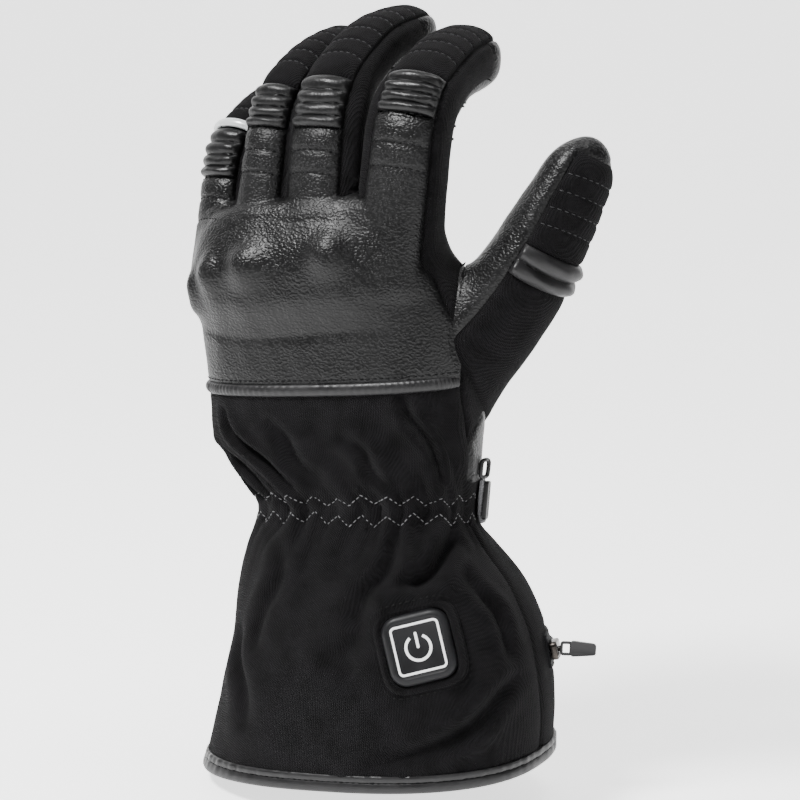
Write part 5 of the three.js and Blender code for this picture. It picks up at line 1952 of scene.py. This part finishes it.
def build_cord_loop():
    """The small loop of cord above the tab."""
    ring, _ = rounded_outline(*LOOP_SIZE, LOOP_STEPS)
    rise = LOOP_RISE + LOOP_BEND * np.cos(full_turn(LOOP_STEPS))
    up = np.array((0.0, 0.0, 1.0))
    rings = []
    for k in range(LOOP_STEPS):
        out = ring[k] - ring.mean(0)
        out = out / np.linalg.norm(out)
        centre = ring[k] * 0.8 + up * rise[k]
        rings.append([
            centre + (out * math.cos(a) + up * math.sin(a)) * LOOP_WIRE / 2 for a in full_turn(LOOP_SIDES)
        ])
    loop = swept_mesh("cord_loop", carried(surface_frame(*LOOP_PLACE), np.array(rings)), True)
    note_seam(loop)
    finish_piece(loop, "trim", "strap_loop")


def build_strap_pieces():
    """The elastic strap, its end tab and the loop above it."""
    build_webbing()
    build_strap_end()
    build_cord_loop()


# The camera's side and height, in degrees, its distance and the width of its view, in metres
VIEW_SIDE = 27.0
VIEW_RISE = 11.0
VIEW_DISTANCE = 1.0
VIEW_WIDTH = 0.304
VIEW_RIGHT = 0.01292
VIEW_UP = 0.03914
FLOOR_GAP = 0.004


def view_axes():
    """The directions to the camera, to its right and up in its picture."""
    side = math.radians(VIEW_SIDE)
    rise = math.radians(VIEW_RISE)
    back = Vector((math.sin(side) * math.cos(rise), -math.cos(side) * math.cos(rise), math.sin(rise)))
    right = Vector((math.cos(side), math.sin(side), 0.0))
    return back, right, back.cross(right)


def build_camera():
    """The camera at the photograph's angle."""
    back, right, up = view_axes()
    target = right * VIEW_RIGHT + up * VIEW_UP
    data = bpy.data.cameras.new("camera")
    data.sensor_fit = "HORIZONTAL"
    data.angle = 2 * math.atan(VIEW_WIDTH / 2 / VIEW_DISTANCE)
    data.clip_start = 0.05
    camera = bpy.data.objects.new("camera", data)
    bpy.context.scene.collection.objects.link(camera)
    turn = Matrix((right, up, back)).transposed().to_4x4()
    camera.matrix_world = Matrix.Translation(target + back * VIEW_DISTANCE) @ turn
    bpy.context.scene.camera = camera


# Softboxes: place, size, energy in watts, all aimed at the hand
LIGHTS = {
    "key_light": ((-0.36, -0.5, 1.0), 0.3, 30.0),
    "fill_light": ((0.9, -0.8, 0.3), 0.5, 3.0),
    "left_light": ((-1.15, -0.25, 0.2), 0.4, 0.5),
    "top_light": ((0.25, 0.15, 1.1), 0.4, 5.0),
}
LIGHT_AIM = Vector((0.0, 0.0, 0.04))
# The paper, in metres: its front, where it starts to bend up, the bend's radius, its top and half its width
PAPER_FRONT = -1.6
PAPER_BEND = 1.2
PAPER_RADIUS = 0.8
PAPER_TOP = 2.6
PAPER_SIDE = 3.0
PAPER_STEPS = 12
PAPER_ROUGHNESS = 0.9
WHITE = (1.0, 1.0, 1.0, 1.0)


def paper_material(settings, colours):
    """The pale paper, which gives out some light of its own."""
    paper = bpy.data.materials.new("studio_paper")
    paper.use_nodes = True
    surface = paper.node_tree.nodes["Principled BSDF"]
    surface.inputs["Base Color"].default_value = (*colours.paper, 1.0)
    surface.inputs["Roughness"].default_value = PAPER_ROUGHNESS
    surface.inputs["Emission Color"].default_value = WHITE
    surface.inputs["Emission Strength"].default_value = settings.paper_glow
    return paper


def build_paper(settings, colours):
    """The floor, which sweeps up into a backdrop."""
    low = CAD_BOX[0][2] - FLOOR_GAP
    side = math.radians(VIEW_SIDE)
    away = np.array((-math.sin(side), math.cos(side), 0.0))
    across = np.array((math.cos(side), math.sin(side), 0.0))
    up = np.array((0.0, 0.0, 1.0))
    profile = [(PAPER_FRONT, 0.0), (PAPER_BEND, 0.0)]
    for step in range(1, PAPER_STEPS + 1):
        turn = math.pi / 2 * step / PAPER_STEPS
        profile.append((PAPER_BEND + PAPER_RADIUS * math.sin(turn), PAPER_RADIUS * (1.0 - math.cos(turn))))
    profile.append((PAPER_BEND + PAPER_RADIUS, PAPER_TOP))
    points = [
        (away * reach + across * share * PAPER_SIDE + up * (low + rise)) / MM
        for reach, rise in profile for share in (-1.0, 0.0, 1.0)
    ]
    floor = new_mesh("studio_floor", points, grid_faces(2, len(profile) - 1, False).tolist())
    for face in floor.data.polygons:
        face.use_smooth = True
    floor.data.materials.append(paper_material(settings, colours))


def build_lights(settings):
    """The softboxes and the pale light from all around."""
    for name, (place, size, energy) in LIGHTS.items():
        data = bpy.data.lights.new(name, "AREA")
        data.size = size
        data.energy = energy
        light = bpy.data.objects.new(name, data)
        bpy.context.scene.collection.objects.link(light)
        light.location = place
        light.rotation_euler = (LIGHT_AIM - Vector(place)).to_track_quat("-Z", "Y").to_euler()
    world = bpy.data.worlds.new("studio")
    bpy.context.scene.world = world
    world.use_nodes = True
    sky = world.node_tree.nodes["Background"]
    sky.inputs["Color"].default_value = WHITE
    sky.inputs["Strength"].default_value = settings.world_light


def build_stage(settings, colours):
    """The paper, the lights and the camera."""
    build_paper(settings, colours)
    build_lights(settings)
    build_camera()


class GloveSizes(bpy.types.PropertyGroup):
    """Sizes of the glove's dressing, in millimetres."""

    voxel: bpy.props.FloatProperty(
        name="Cloth resolution", description="Size of the faces of the sewn skin, in millimetres",
        default=1.2, min=0.8, max=4.0,
    )
    seam_depth: bpy.props.FloatProperty(
        name="Seam depth", description="Depth of the valley along a seam, in millimetres",
        default=0.75, min=0.0, max=1.5,
    )
    seam_puff: bpy.props.FloatProperty(
        name="Seam puff", description="Rise of the cloth between seams, in millimetres",
        default=0.5, min=0.0, max=2.0,
    )
    cloth_thickness: bpy.props.FloatProperty(
        name="Cloth thickness", description="Thickness of the cloth and the leather, in millimetres",
        default=1.5, min=0.8, max=3.0,
    )
    paper_glow: bpy.props.FloatProperty(
        name="Paper glow", description="Strength of the light that the floor gives out",
        default=1.7, min=0.0, max=4.0,
    )
    world_light: bpy.props.FloatProperty(
        name="World light", description="Strength of the light from all around",
        default=0.14, min=0.0, max=3.0,
    )


def finish_colour(label, words, default):
    """A colour that a user may change."""
    return bpy.props.FloatVectorProperty(name=label, description=words, subtype="COLOR", default=default)


class GloveColours(bpy.types.PropertyGroup):
    """Lightest tone of each of the glove's finishes."""

    leather: finish_colour("Leather", "Leather of the guard, palm and fingers", (0.0075, 0.0073, 0.0078))
    softshell: finish_colour("Softshell", "Stretch cloth of the back and cuff", (0.0068, 0.0064, 0.0071))
    trim: finish_colour("Trim", "Binding, piping and thumb tubes", (0.0115, 0.0112, 0.0118))
    elastic: finish_colour("Elastic", "Ribbed webbing of the wrist strap", (0.12, 0.12, 0.126))
    rubber: finish_colour("Rubber", "Pad of the power button", (0.006, 0.006, 0.007))
    print: finish_colour("Print", "Marks on the power button", (0.85, 0.85, 0.85))
    # Light grey of the little finger's piping: a painted highlight on its rib
    reflective: finish_colour("Reflective", "Piping of the little finger", (0.58, 0.6, 0.6))
    zip: finish_colour("Zip", "Tape and teeth of the zip", (0.008, 0.008, 0.009))
    metal: finish_colour("Metal", "Slider of the zip", (0.07, 0.062, 0.056))
    puller: finish_colour("Pull", "Moulded tab of the zip", (0.02, 0.0195, 0.021))
    dark_thread: finish_colour("Dark thread", "Stitches on the leather and the trims", (0.004, 0.004, 0.0043))
    quilt_thread: finish_colour("Quilting thread", "Stitches on the fingertips", (0.04, 0.04, 0.042))
    light_thread: finish_colour("Light thread", "Zigzag stitches of the gathers", (0.15, 0.15, 0.155))
    paper: finish_colour("Paper", "Floor and backdrop", (0.92, 0.92, 0.92))


class GLOVE_OT_panels(bpy.types.Operator):
    """Cut the glove's skin into its panels and sew them"""

    bl_idname = "glove.panels"
    bl_label = "Sewn panels"

    def execute(self, context):
        build_panels(context.scene.glove_sizes)
        return {"FINISHED"}


class GLOVE_OT_finger_backs(bpy.types.Operator):
    """Make the accordion ribs and the quilted backs of the fingertips"""

    bl_idname = "glove.finger_backs"
    bl_label = "Finger backs"

    def execute(self, context):
        build_finger_backs(context.scene.glove_sizes)
        return {"FINISHED"}


class GLOVE_OT_trims(bpy.types.Operator):
    """Make the piping, the hem binding and the little finger's piping, coloured light grey as a painted
    highlight
    """

    bl_idname = "glove.trims"
    bl_label = "Piping and binding"

    def execute(self, context):
        build_trims()
        return {"FINISHED"}


class GLOVE_OT_button(bpy.types.Operator):
    """Model the power button and the cloth round it"""

    bl_idname = "glove.button"
    bl_label = "Power button"

    def execute(self, context):
        build_button_pieces()
        return {"FINISHED"}


class GLOVE_OT_zip(bpy.types.Operator):
    """Model the zip of the battery pocket"""

    bl_idname = "glove.zip"
    bl_label = "Zip"

    def execute(self, context):
        build_zip_pieces()
        return {"FINISHED"}


class GLOVE_OT_strap(bpy.types.Operator):
    """Model the wrist strap, its end and its loop"""

    bl_idname = "glove.strap"
    bl_label = "Wrist strap"

    def execute(self, context):
        build_strap_pieces()
        return {"FINISHED"}


class GLOVE_OT_stitches(bpy.types.Operator):
    """Sew every row of stitches"""

    bl_idname = "glove.stitches"
    bl_label = "Stitches"

    def execute(self, context):
        build_stitches(context.scene.glove_sizes)
        return {"FINISHED"}


class GLOVE_OT_stage(bpy.types.Operator):
    """Set up the floor, the lights and the camera"""

    bl_idname = "glove.stage"
    bl_label = "Stage"

    def execute(self, context):
        build_stage(context.scene.glove_sizes, context.scene.glove_colours)
        return {"FINISHED"}


OPERATORS = (
    GLOVE_OT_panels, GLOVE_OT_finger_backs, GLOVE_OT_trims, GLOVE_OT_button, GLOVE_OT_zip, GLOVE_OT_strap,
    GLOVE_OT_stitches, GLOVE_OT_stage,
)


class GLOVE_PT_build(bpy.types.Panel):
    """Sizes, colours and pieces of the glove"""

    bl_label = "Glove"
    bl_idname = "GLOVE_PT_build"
    bl_space_type = "VIEW_3D"
    bl_region_type = "UI"
    bl_category = "Glove"

    def draw(self, context):
        layout = self.layout
        for group in (context.scene.glove_sizes, context.scene.glove_colours):
            box = layout.box()
            for key in group.__annotations__:
                box.prop(group, key)
        for operator in OPERATORS:
            layout.operator(operator.bl_idname)


CLASSES = (GloveSizes, GloveColours, *OPERATORS, GLOVE_PT_build)


def register():
    """Registers the classes and the glove's settings."""
    for kind in CLASSES:
        bpy.utils.register_class(kind)
    bpy.types.Scene.glove_sizes = bpy.props.PointerProperty(type=GloveSizes)
    bpy.types.Scene.glove_colours = bpy.props.PointerProperty(type=GloveColours)


def unregister():
    """Takes the settings and the classes out again."""
    del bpy.types.Scene.glove_colours
    del bpy.types.Scene.glove_sizes
    for kind in reversed(CLASSES):
        bpy.utils.unregister_class(kind)


def main():
    """Registers the add-on and builds every piece in order."""
    register()
    bpy.ops.glove.panels()
    bpy.ops.glove.finger_backs()
    bpy.ops.glove.trims()
    bpy.ops.glove.button()
    bpy.ops.glove.zip()
    bpy.ops.glove.strap()
    bpy.ops.glove.stitches()
    bpy.ops.glove.stage()


if __name__ == "__main__":
    main()
